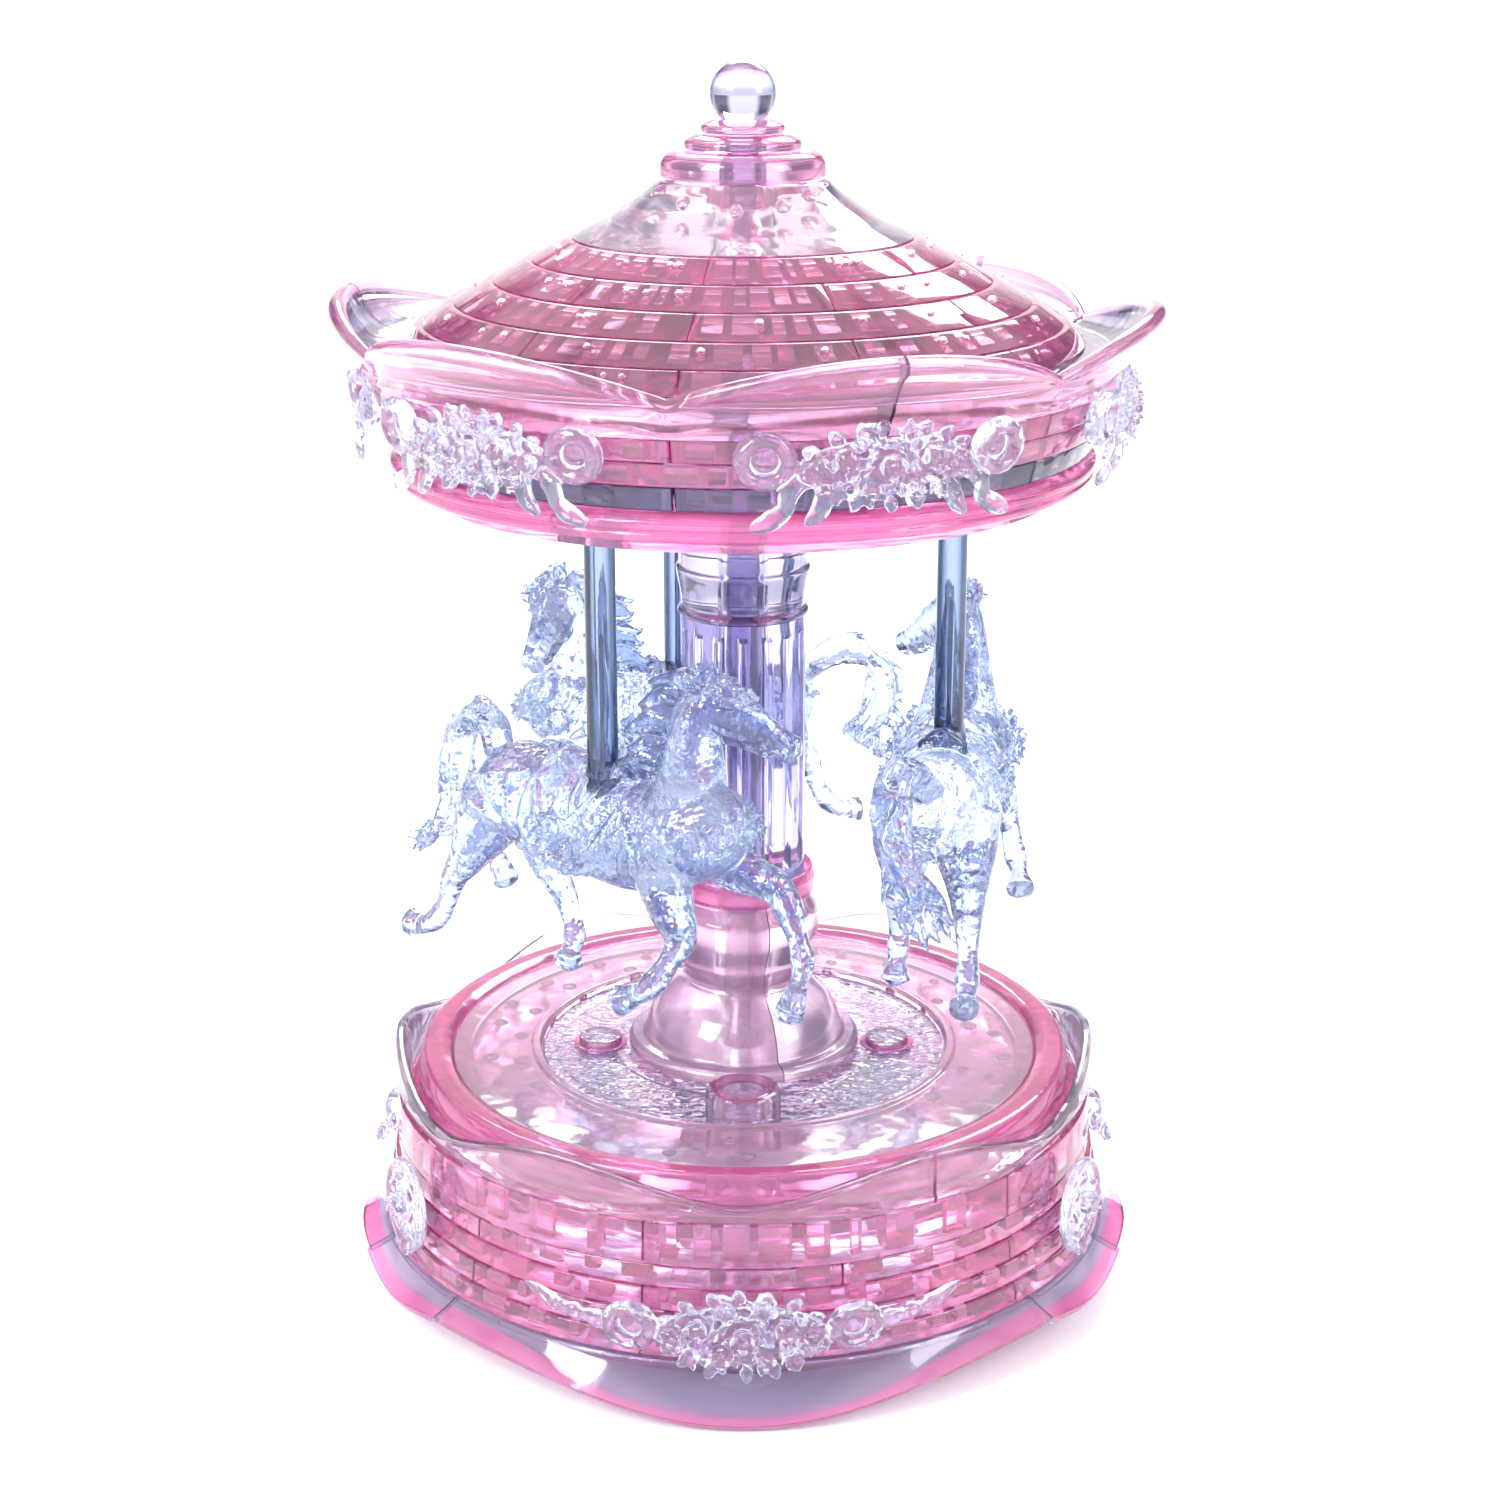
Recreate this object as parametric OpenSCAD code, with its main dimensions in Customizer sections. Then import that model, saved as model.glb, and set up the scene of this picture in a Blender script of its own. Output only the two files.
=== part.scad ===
// Carousel music box: a wind-up movement in a block-built base turns a column,
// a canopy and three horses. Millimetres, +Z up, front towards -Y, origin at the
// centre of the base on the surface that it stands on.
// Azimuths (az) are in degrees from the front, turning towards +X.

/* [Base] */
// Radius of the flared skirt at its lower edge
skirt_r = 66.5; // [66:0.1:67.5]
// Height of the rubber feet
foot_h = 8; // [7.8:0.1:8.2]
// Radius of the drum wall at its lowest course
drum_r = 61.5; // [61:0.1:62]
// Radius of the cavity that holds the movement
cavity_r = 46; // [45.8:0.1:47]
// Radius of the clear disc in the middle of the deck
disc_r = 34.2; // [33:0.1:35]
// Radius of the start and stop button
button_r = 6.2; // [5:0.1:6.5]
// Travel of the start and stop button
button_travel = 1; // [0.6:0.1:1.1]

/* [Carousel] */
// Height of the whole music box
total_h = 200; // [199.5:0.1:202]
// Radius of the canopy rim
rim_r = 56.3; // [56:0.1:57]
// Largest radius of the upturned eave petals
petal_r = 66.2; // [65:0.1:66.4]
// Distance from the axis to the horse poles
pole_ring_r = 34; // [33:0.1:35]
// Radius of a horse pole
pole_r = 2.45; // [2:0.05:2.6]
// Turn of the carousel from the base's own symmetry, in degrees
carousel_turn = 20; // [0:1:40]

/* [Movement] */
// Radius of the pinned cylinder
cylinder_r = 6.5; // [6:0.1:6.6]
// Notes on the comb
comb_notes = 18; // [12:1:18]

/* [Hidden] */
$fn = 96;
PINK = [0.96, 0.6, 0.78, 0.75];
HOT_PINK = [0.93, 0.38, 0.64, 0.85];
CLEAR = [0.76, 0.82, 0.95, 0.6];
STEEL = [0.7, 0.71, 0.73];
BRASS = [0.8, 0.65, 0.35];
DARK = [0.2, 0.2, 0.22];

eps = 0.01;
run_gap = 0.05;          // radial running clearance of a shaft in its hole
fit = 0.02;              // radial clearance of a pushed-in rod
horse_count = 3;
block_gap = 0.25;        // seam between two neighbouring blocks, in degrees
blocks = 6;              // blocks in one course

// Heights of the base, from the floor up
cover_t = 2;
cover_r = 58;
cover_z = foot_h + cover_t;
drum_z = [10, 13.6, 17.2, 20.8, 24.4, 31.5];     // joints between the courses
drum_top_r = 58.6;
ledge = 0.45;                                    // step between two courses
deck_z = 37;
disc_z = 36.3;

// Heights of the carousel
foot_z = 36.8;
rim_z = 136.2;
frieze_z = [141, 144.7, 148.4, 152];
frieze_r = [55, 58.8];
eave_top_z = 157;
eave_in_r = 53;
roof_z = [157.2, 160.4, 163.6, 166.8, 170, 173.2];
roof_r = [54, 50.6, 45.6, 39.4, 33.4, 27];
peak_z = 182.2;
peak_r = 13;
finial_r = 5.1;
finial_z = total_h - finial_r;
rod_r = 2.5;
saddle_z = 92.3;
petals = 6;

function pol(r, az, z) = [r * sin(az), -r * cos(az), z];
function mix(a, b, t) = a + (b - a) * t;

// Turn a child to an azimuth and stand it at radius r: its -Y side faces outwards
module at(az, r = 0, z = 0) { translate(pol(r, az, z)) rotate([0, 0, az]) children(); }

// A ring sector from azimuth a0 to a1 with a section in the (radius, height) plane
module sector(a0, a1) {
    rotate([0, 0, a0 - 90]) rotate_extrude(angle = a1 - a0) children();
}

// A solid swept through sections given at azimuths az[i]; each section has n [r, z] points
module section_sweep(az, sections) {
    n = len(sections[0]);
    m = len(az);
    points = [for (i = [0:m - 1], p = sections[i]) pol(p[0], az[i], p[1])];
    sides = [for (i = [0:m - 2], j = [0:n - 1], k = [0, 1])
        let (a = i * n + j, b = i * n + (j + 1) % n)
            k == 0 ? [a, b, b + n] : [a, b + n, a + n]];
    first = [[for (j = [n - 1:-1:0]) j]];
    last = [[for (j = [0:n - 1]) (m - 1) * n + j]];
    polyhedron(points, concat(first, sides, last));
}

// One course of interlocking blocks; lower and upper outer radius, seams turned by 'turn'
module block_course(r_in, r_low, r_high, z0, z1, turn) {
    for (i = [0:blocks - 1])
        let (a = turn + i * 360 / blocks)
            sector(a + block_gap, a + 360 / blocks - block_gap)
                polygon([[r_in, z0], [r_low, z0], [r_high, z1], [r_in, z1]]);
}

// ---------------------------------------------------------------- base shell

foot_ring_r = 48;
module rubber_feet() {
    color(DARK) for (i = [0:2])
        translate(pol(foot_ring_r, i * 120, 0)) {
            cylinder(r1 = 5.4, r2 = 6, h = 1);
            translate([0, 0, 1]) cylinder(r = 6, h = foot_h - 1);
        }
}

arbor_r = 1.8;
post_ring_r = 24.5;
cover_screw_az = [-90, 90, 180];
cover_screw_r = 1.25;
cover_screw_l = 6;
module cover_screw_holes() {
    for (a = cover_screw_az)
        translate(pol(post_ring_r, a, foot_h - 1))
            cylinder(r = cover_screw_r + run_gap, h = cover_screw_l + 1);
}
module bottom_cover() {
    color(PINK) difference() {
        translate([0, 0, foot_h]) cylinder(r = cover_r, h = cover_t);
        translate([0, 0, foot_h - 1]) cylinder(r = arbor_r + 0.6, h = cover_t + 2);
        cover_screw_holes();
    }
}

// Skirt: big lobes hang at 0, 120 and 240, shallow links between them
skirt_top = [62, cover_z - 0.05];
skirt_in_r = cover_r + 0.3;
skirt_t = 1.9;
lobe_half = 48;
arch_z = 8;
link_z = 6.6;
function lobe_edge_z(a) = 1.1 + (arch_z - 1.1) / 2 * (1 - cos(min(abs(a), 44) * 180 / 44));
function skirt_section(edge_z, t) =
    let (run = skirt_r - skirt_top[0], drop = skirt_top[1] - edge_z, l = norm([run, drop]),
        nx = -drop / l * t, nz = -run / l * t,
        outer = [for (u = [0, 0.35, 0.7, 1])
            [skirt_top[0] + run * pow(u, 1.25), skirt_top[1] - drop * u]])
    concat([for (i = [3:-1:0]) outer[i]], [[skirt_in_r, skirt_top[1]]],
        [[skirt_in_r, skirt_top[1] - 1.4]],
        [for (i = [1:3]) [outer[i][0] + nx, outer[i][1] + nz]]);

module skirt_lobe(centre) {
    az = [for (i = [0:32]) mix(-lobe_half, lobe_half, i / 32)];
    color(CLEAR) section_sweep([for (a = az) a + centre],
        [for (a = az) skirt_section(lobe_edge_z(a), skirt_t)]);
}
module skirt_links() {
    half = 60 - lobe_half - 0.2;
    color(CLEAR) for (c = [60, 180, 300])
        sector(c - half, c + half) polygon(skirt_section(link_z, skirt_t - 0.4));
}

function drum_r_at(z) = mix(drum_r, drum_top_r, (z - drum_z[0]) / (drum_z[4] - drum_z[0]));
module drum_layer(i) {
    top = i == 5;
    r_low = top ? drum_top_r + 0.6 : drum_r_at(drum_z[i - 1]);
    r_high = top ? drum_top_r + 0.4 : drum_r_at(drum_z[i]) + ledge;
    color(i % 2 == 0 ? PINK : HOT_PINK)
        block_course(cavity_r, r_low, r_high, drum_z[i - 1], drum_z[i], i * 30 + 15);
}

// Crown: a low wall round the deck whose lip rises in six petals
crown_low_z = drum_z[5] + 0.1;
function crown_lip_z(az) = 37.2 + 2.9 * cos(petals * (az - 30));
function crown_section(az) =
    let (lip = crown_lip_z(az), out = 58.7 + 0.5 * cos(petals * (az - 30)))
    [[out - 2.4, crown_low_z], [out - 1.9, lip - 1], [out - 1.5, lip - 0.2], [out - 0.8, lip],
        [out - 0.2, lip - 0.5], [out, lip - 1.4], [out - 0.1, crown_low_z]];
module crown_segment(i) {
    a0 = -90 + i * 120 + 0.3;
    a1 = -90 + (i + 1) * 120 - 0.3;
    az = [for (k = [0:24]) mix(a0, a1, k / 24)];
    color(PINK) section_sweep(az, [for (a = az) crown_section(a)]);
}

rim_in_r = 49.6;
plate_t = 1.5;
module deck_rim() {
    color(HOT_PINK) rotate_extrude() polygon([[cavity_r + 0.4, drum_z[5]], [55.7, drum_z[5]],
        [55.4, deck_z - 1.4], [54.6, deck_z + 0.6], [53.8, deck_z + 0.9],
        [51.4, deck_z + 0.9], [rim_in_r, deck_z], [rim_in_r, deck_z - plate_t],
        [cavity_r + 0.4, deck_z - plate_t]]);
}
module deck_plate() {
    color(PINK) rotate_extrude() polygon([[disc_r + 0.1, deck_z - 3.4],
        [cavity_r + 0.2, deck_z - 3.4], [cavity_r + 0.2, deck_z - plate_t],
        [rim_in_r - 0.1, deck_z - plate_t], [rim_in_r - 0.1, deck_z],
        [disc_r + 1.6, deck_z], [disc_r + 1.2, deck_z + 0.35], [disc_r + 0.5, deck_z + 0.35],
        [disc_r + 0.1, deck_z]]);
}
disc_hole_r = 8;
post_r = 3.7;
post_az = [-90, 90];
button_ring_r = 28;
stem_r = 2;
module deck_disc() {
    color(CLEAR) difference() {
        union() {
            translate([0, 0, disc_z - 1.5]) cylinder(r = disc_r, h = 1.5);
            for (a = post_az)
                translate(pol(post_ring_r, a, disc_z - 1.5)) cylinder(r = post_r + 0.9, h = 1.8);
        }
        translate([0, 0, disc_z - 3]) cylinder(r = disc_hole_r, h = 6);
        translate(pol(button_ring_r, 0, disc_z - 3)) cylinder(r = stem_r + run_gap, h = 6);
        for (a = post_az)
            translate(pol(post_ring_r, a, disc_z - 3)) cylinder(r = 1.8, h = 6);
    }
}
// Posts stand on the bedplate's level, carry the disc and end in a round peg head
module deck_posts() {
    color(PINK) difference() {
        for (a = post_az)
            translate(pol(post_ring_r, a, 0)) {
                translate([0, 0, cover_z]) cylinder(r = post_r, h = disc_z - 1.5 - cover_z);
                translate([0, 0, disc_z - 1.6]) cylinder(r = 1.75, h = 2);
                translate([0, 0, disc_z + 0.3]) cylinder(r1 = post_r, r2 = post_r - 0.4, h = 1.1);
            }
        cover_screw_holes();
    }
}

// ---------------------------------------------------------------- ornaments

// A flower garland bent round radius r: a cluster, a bow loop and a ribbon at each side.
// cluster, loop and tail are degrees from its middle to each
module garland(az, r, z, cluster, loop, loop_r, tail, drop, turn) {
    hull() for (a = [-cluster, 0, cluster], s = [-1, 1])
        at(az + a, r + (a == 0 ? 1.2 : 0.2), z + s * 3) sphere(r = 2, $fn = 6);
    for (s = [-1, 1]) {
        at(az + s * loop, r, z + 0.6) rotate([90, 0, 0]) difference() {
            cylinder(r = loop_r, h = 2, center = true, $fn = 12);
            cylinder(r = loop_r - 1.8, h = 3, center = true, $fn = 6);
        }
        hull() {
            at(az + s * (cluster - 1), r, z - 1) sphere(r = 1.3, $fn = 6);
            at(az + s * tail, r + turn, z - drop) sphere(r = 0.9, $fn = 6);
        }
        at(az + s * cluster * 0.7, r - 1.6, z) rotate([90, 0, 0])
            cylinder(r = 1, h = 3.6, center = true, $fn = 12);
    }
}
module base_garlands() {
    color(CLEAR) for (a = [0, 120, 240])
        garland(a, drum_r + 2, 15.5, 12, 16.4, 4.2, 32, -4, -1.2);
}
medallion_r = 62.3;
module medallion(az) {
    at(az, medallion_r, 21.5) {
        rotate([90, 0, 0]) difference() {
            cylinder(r = 6.6, h = 1.6, center = true);
            translate([0, 0, 0.4]) cylinder(r = 4.4, h = 2);
        }
        translate([0, -0.6, -7.2]) sphere(r = 1.5);
        translate([0, 1.6, 0]) rotate([90, 0, 0]) cylinder(r = 1.4, h = 2.6, center = true);
    }
}
module medallions() { color(CLEAR) for (a = [60, 180, 300]) medallion(a); }

// ---------------------------------------------------------------- movement

plate_z = cover_z + 2;                 // top of the bedplate
barrel_z = plate_z + 1.4;
barrel_top = 22;
crown_h = 1;
shaft_z = 25.5;                        // height of the cylinder's and the fan's axis
bearing_in = 13.4;                     // inner bearing plate, distance behind the axis
bearing_out = 36.8;                    // outer bearing plate
bearing_t = 1;
cyl_y = [15.2, 34.2];
comb_x = [7.25, 15.2, 21];
comb_y = [15.6, 33.8];
comb_t = 0.9;
comb_screw_x = 18.2;
comb_screw_y = [19.5, 29.9];
fan_x = -8.55;
gov_shaft_r = 0.5;
cyl_shaft_r = 1;
gear_y = 34.8;
gear_t = 1.2;

module bedplate() {
    color(BRASS) difference() {
        union() {
            translate([-19, -18, cover_z]) cube([39, 32, 2]);
            translate([-19, 14, cover_z]) cube([40.2, 26.4, 2]);
            translate([-6, bearing_in, plate_z]) cube([12, bearing_t, 17]);
            translate([-12, bearing_out, plate_z]) cube([18, bearing_t, 17]);
            translate([comb_x[1] + 0.3, comb_y[0], plate_z])
                cube([comb_x[2] - comb_x[1] - 0.3, comb_y[1] - comb_y[0],
                    shaft_z - comb_t / 2 - plate_z]);
            translate([fan_x - 2, bearing_in, plate_z]) cube([4, bearing_t, 17]);
        }
        translate([0, 0, cover_z - 1]) cylinder(r = arbor_r + run_gap, h = 4);
        translate([0, 10, shaft_z]) rotate([-90, 0, 0]) cylinder(r = cyl_shaft_r + run_gap, h = 30);
        translate([fan_x, 10, shaft_z]) rotate([-90, 0, 0])
            cylinder(r = gov_shaft_r + run_gap, h = 30);
        for (y = comb_screw_y)
            translate([comb_screw_x, y, shaft_z - 4]) cylinder(r = 0.85, h = 5);
        cover_screw_holes();
    }
}
module music_comb() {
    pitch = (comb_y[1] - comb_y[0]) / comb_notes;
    color(STEEL) difference() {
        translate([comb_x[0], comb_y[0], shaft_z - comb_t / 2])
            cube([comb_x[2] - comb_x[0], comb_y[1] - comb_y[0], comb_t]);
        for (i = [1:comb_notes - 1])
            translate([comb_x[0] - 1, comb_y[0] + i * pitch - 0.15, shaft_z - 1])
                cube([comb_x[1] - comb_x[0] + 1 - i * 0.18, 0.3, 2]);
        for (y = comb_screw_y)
            translate([comb_screw_x, y, shaft_z - 1]) cylinder(r = 0.85, h = 2);
    }
}
module screw(head_r, head_h, shank_r, shank_l) {
    difference() {
        cylinder(r = head_r, h = head_h);
        translate([-head_r, -0.2, head_h * 0.5]) cube([2 * head_r, 0.4, head_h]);
    }
    translate([0, 0, -shank_l]) cylinder(r = shank_r, h = shank_l);
}
module screws() {
    color(STEEL) {
        for (y = comb_screw_y)
            translate([comb_screw_x, y, shaft_z + comb_t / 2]) screw(1.6, 0.9, 0.8, 3.2);
        for (a = cover_screw_az)
            translate(pol(post_ring_r, a, foot_h)) mirror([0, 0, 1])
                screw(2.2, 1.2, cover_screw_r, a == 180 ? 3.9 : cover_screw_l - 0.5);
    }
}
module winding_arbor() {
    color(STEEL) translate([0, 0, 3]) cylinder(r = arbor_r, h = 17.6);
}
key_w = 20;
module winding_key() {
    color(STEEL) difference() {
        union() {
            translate([0, 0, 2.4]) cylinder(r = 3.4, h = 5);
            intersection() {
                translate([-key_w / 2, -0.8, 1.2]) cube([key_w, 1.6, 5.4]);
                union() {
                    translate([-key_w / 2 + 4.6, 0, 3.9]) rotate([90, 0, 0])
                        cylinder(r = 4.6, h = 3, center = true);
                    translate([key_w / 2 - 4.6, 0, 3.9]) rotate([90, 0, 0])
                        cylinder(r = 4.6, h = 3, center = true);
                    translate([-5, -2, 2.4]) cube([10, 4, 3]);
                }
            }
        }
        translate([0, 0, 3]) cylinder(r = arbor_r + eps, h = 6);
    }
}

barrel_r = 11;
barrel_teeth = 40;
pinion_teeth = 10;
wheel_teeth = 36;
fan_teeth = 6;
function gear_points(n, r_root, r_tip, w_root, w_tip, turn) =
    [for (i = [0:n - 1], k = [0:3])
        let (r = (k == 0 || k == 3) ? r_root : r_tip, w = (k == 0 || k == 3) ? w_root : w_tip,
            s = k < 2 ? -1 : 1, a = turn + i * 360 / n + s * asin(w / 2 / r))
        [r * cos(a), r * sin(a)]];

module music_cylinder() {
    pins = 24;
    color(BRASS) translate([0, 0, shaft_z]) rotate([-90, 0, 0]) {
        translate([0, 0, 8.2]) cylinder(r = cyl_shaft_r, h = 29.9);
        translate([0, 0, cyl_y[0]]) cylinder(r = cylinder_r, h = cyl_y[1] - cyl_y[0]);
        translate([0, 0, gear_y]) linear_extrude(gear_t)
            polygon(gear_points(wheel_teeth, 6.75, 7.35, 0.6, 0.3, 0));
        translate([0, 0, 8.7]) linear_extrude(2.2)
            polygon(gear_points(pinion_teeth, 2, 3.1, 0.7, 0.4, 90));
        for (i = [0:pins - 1])
            translate([0, 0, cyl_y[0] + 0.9 + (i * 7 % comb_notes) * 1.01])
                rotate([0, 0, i * 360 / pins + 7]) rotate([0, 90, 0])
                    cylinder(r = 0.2, h = cylinder_r + 0.45, $fn = 12);
    }
}
module governor_fan() {
    color(STEEL) translate([fan_x, 0, shaft_z]) rotate([-90, 0, 0]) {
        translate([0, 0, 12.8]) cylinder(r = gov_shaft_r, h = 29.6);
        translate([0, 0, gear_y]) linear_extrude(gear_t)
            polygon(gear_points(fan_teeth, 0.7, 1.1, 0.34, 0.2, 30));
        for (a = [0, 180]) rotate([0, 0, a]) translate([0.3, -0.2, 38.6]) cube([4.2, 0.4, 3.4]);
    }
}
flange_r = 12.8;
flange_t = 1.2;
arm_z = barrel_z + flange_t + button_travel + 0.3;
arm_hub_z = [arm_z + 0.6, arm_z + 2];
module stop_button() {
    color(HOT_PINK) translate(pol(button_ring_r, 0, 0)) {
        translate([0, 0, disc_z + 1.2]) rotate_extrude()
            polygon([[0, 0], [button_r, 0], [button_r, 2.6], [button_r - 0.5, 3.2],
                [button_r - 1.6, 3.2], [button_r - 2.2, 2.6], [0, 2.6]]);
        translate([0, 0, arm_hub_z[1]]) cylinder(r = stem_r, h = disc_z + 1.2 - arm_hub_z[1]);
        translate([0, 0, arm_hub_z[0]]) cylinder(r = stem_r - 0.8, h = 2);
    }
}
module brake_arm() {
    color(STEEL) difference() {
        union() {
            translate([-1.5, -button_ring_r, arm_hub_z[0]]) cube([3, button_ring_r - 11.7, 1.4]);
            translate(pol(button_ring_r, 0, arm_hub_z[0])) cylinder(r = 3.2, h = 1.4);
            translate([-1.5, -13.4, arm_z]) cube([3, 1.5, 0.7]);
        }
        translate(pol(button_ring_r, 0, arm_z - 1)) cylinder(r = stem_r - 0.8, h = 6);
    }
}
module spring_barrel() {
    color(BRASS) {
        difference() {
            union() {
                translate([0, 0, barrel_z]) cylinder(r = flange_r, h = flange_t);
                translate([0, 0, barrel_z]) cylinder(r = barrel_r, h = barrel_top - barrel_z);
            }
            translate([0, 0, barrel_z + flange_t]) cylinder(r = barrel_r - 1, h = 6.4);
            translate([0, 0, barrel_z - 1]) cylinder(r = arbor_r + run_gap, h = 4);
        }
        for (i = [0:barrel_teeth - 1])
            rotate([0, 0, 90 + (i + 0.5) * 360 / barrel_teeth])
                translate([barrel_r - 2.4, -0.22, barrel_top - eps])
                    cube([2.4, 0.44, crown_h + eps]);
    }
}
module mainspring() {
    turns = 5;
    steps = 80;
    strip_t = 0.4;
    function spiral(u, off) = let (r = mix(2.6, 9.4, u) + off, a = u * turns * 360)
        [r * cos(a), r * sin(a)];
    color(STEEL) translate([0, 0, barrel_z + flange_t + 0.3]) linear_extrude(5.4)
        polygon(concat([for (i = [0:steps]) spiral(i / steps, 0)],
            [for (i = [steps:-1:0]) spiral(i / steps, strip_t)]));
}
spindle_r = 3;
spindle_top = 60;
module drive_spindle() {
    color(STEEL) translate([0, 0, barrel_top]) cylinder(r = spindle_r, h = spindle_top - barrel_top);
}

// ---------------------------------------------------------------- column

module halves(gap) {
    difference() {
        children();
        rotate([0, 0, carousel_turn]) translate([-30, -gap / 2, 0]) cube([60, gap, total_h]);
    }
}
foot_top = 67.4;
module column_foot() {
    color(PINK) halves(0.12) rotate_extrude() polygon([[spindle_r + fit, foot_z],
        [19.7, foot_z], [19.7, foot_z + 1.5], [18.9, foot_z + 2.2], [16.6, foot_z + 2.4],
        [16.4, 41], [15.7, 43.2], [14.2, 45.6], [12, 47.6], [10.4, 48.8], [9.8, 50.2],
        [10.2, 51.4], [10.4, 53], [11.4, 55.2], [12.5, 57.4], [12.8, 59.4], [12.6, 61.6],
        [11.6, 63.2], [10.9, 64.4], [10.9, foot_top], [spindle_r + fit, foot_top]]);
}
collar_z = [64.6, 69];
module collar_ring() {
    color(HOT_PINK) rotate_extrude() polygon([[11, collar_z[0]], [11.7, collar_z[0]],
        [12.1, 65.4], [12.1, 67.6], [11.5, collar_z[1]], [11, collar_z[1]]]);
}
shaft_top = 112.6;
flutes = 16;
module column_shaft() {
    color(CLEAR) halves(0.12) difference() {
        translate([0, 0, foot_top]) cylinder(r = 10.2, h = shaft_top - foot_top);
        translate([0, 0, foot_top - 1]) cylinder(r = rod_r + fit, h = 60);
        for (i = [0:flutes - 1])
            translate(pol(10.7, (i + 0.5) * 360 / flutes, foot_top + 3.5))
                cylinder(r = 1.25, h = shaft_top - foot_top - 6.5, $fn = 24);
    }
}
module column_capital() {
    color(PINK) rotate_extrude() polygon([[rod_r + fit, shaft_top], [10.4, shaft_top],
        [10.6, shaft_top + 0.5], [10.4, shaft_top + 1.2], [10, shaft_top + 1.4],
        [10.2, 116], [10.9, 119.6], [11, 120.4], [10.5, 120.9], [10.5, 124.6], [10.9, 125],
        [10.9, rim_z - 2], [rod_r + fit, rim_z - 2]]);
}
module centre_rod() {
    color(CLEAR) translate([0, 0, spindle_top + 0.2]) cylinder(r = rod_r, h = 188 - spindle_top);
}

// ---------------------------------------------------------------- canopy

pole_top = frieze_z[1] - 0.6;
module pole_holes() {
    for (i = [0:horse_count - 1])
        translate(pol(pole_ring_r, carousel_turn + 60 + i * 120, rim_z - 4))
            cylinder(r = pole_r + fit, h = pole_top - rim_z + 4.1);
}
module canopy_plate() {
    color(PINK) difference() {
        translate([0, 0, rim_z - 2]) cylinder(r = 51, h = frieze_z[0] - rim_z + 2);
        translate([0, 0, rim_z - 4]) cylinder(r = rod_r + fit, h = 10);
        pole_holes();
    }
}
module rim_ring() {
    color(HOT_PINK) rotate_extrude() polygon([[51.1, rim_z], [54.6, rim_z], [55.6, rim_z + 0.5],
        [56.1, rim_z + 1.3], [56, rim_z + 2], [rim_r, rim_z + 2.6], [rim_r, rim_z + 3.6],
        [rim_r - 0.6, rim_z + 4.4], [rim_r - 1.8, frieze_z[0]], [51.1, frieze_z[0]]]);
}
block_in_r = 9;
function frieze_r_at(z) = mix(frieze_r[0], frieze_r[1], (z - frieze_z[0]) / (frieze_z[3] - frieze_z[0]));
module frieze_layer(i) {
    color(i % 2 == 0 ? HOT_PINK : PINK) difference() {
        block_course(block_in_r, frieze_r_at(frieze_z[i - 1]) + 0.3,
            frieze_r_at(frieze_z[i]), frieze_z[i - 1], frieze_z[i], carousel_turn + i * 30);
        if (i == 1) pole_holes();
    }
}

// Eave: six petals that flare out and curl up round the cone
function petal_wave(az) = cos(petals * (az - carousel_turn));
function eave_section(az) =
    let (w = petal_wave(az), lip_z = 161.3 + 3.4 * w, lip_r = petal_r - 2.9 + 2.9 * w,
        neck = frieze_r[1] + 0.2)
    [[eave_in_r, frieze_z[3]], [eave_in_r, eave_top_z], [55.4, eave_top_z],
        [mix(55.4, lip_r, 0.62), mix(eave_top_z, lip_z, 0.25)],
        [lip_r - 1.9, lip_z - 1.2], [lip_r - 1, lip_z], [lip_r - 0.1, lip_z - 0.5],
        [lip_r, mix(frieze_z[3], lip_z, 0.62)],
        [mix(neck, lip_r, 0.7), mix(frieze_z[3], lip_z, 0.28)], [neck, frieze_z[3]]];
module eave_segment(i) {
    a0 = carousel_turn + i * 120 + 0.25;
    a1 = carousel_turn + (i + 1) * 120 - 0.25;
    az = [for (k = [0:24]) mix(a0, a1, k / 24)];
    color(PINK) section_sweep(az, [for (a = az) [for (j = [9:-1:0]) eave_section(a)[j]]]);
}
module roof_garlands() {
    color(CLEAR) for (i = [0:petals - 1])
        garland(carousel_turn + i * 60, 59.6, 146, 11, 15.8, 3.8, 18, 5, -1.6);
}

// The lowest roof course also fills the eave ring
module roof_layer(i) {
    color(i % 2 == 0 ? HOT_PINK : PINK) {
        block_course(block_in_r, roof_r[i - 1], roof_r[i] + 0.7, roof_z[i - 1], roof_z[i],
            carousel_turn + i * 30);
        if (i == 1)
            block_course(block_in_r, eave_in_r - 0.2, eave_in_r - 0.2, frieze_z[3] + 0.05,
                roof_z[0], carousel_turn + i * 30);
    }
}
module roof_peak() {
    color(CLEAR) rotate_extrude() polygon([[rod_r + fit, roof_z[5]], [27, roof_z[5]],
        [22, 175.6], [17.6, 178.4], [14.6, 180.6], [peak_r, peak_z], [rod_r + fit, peak_z]]);
}
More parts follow.
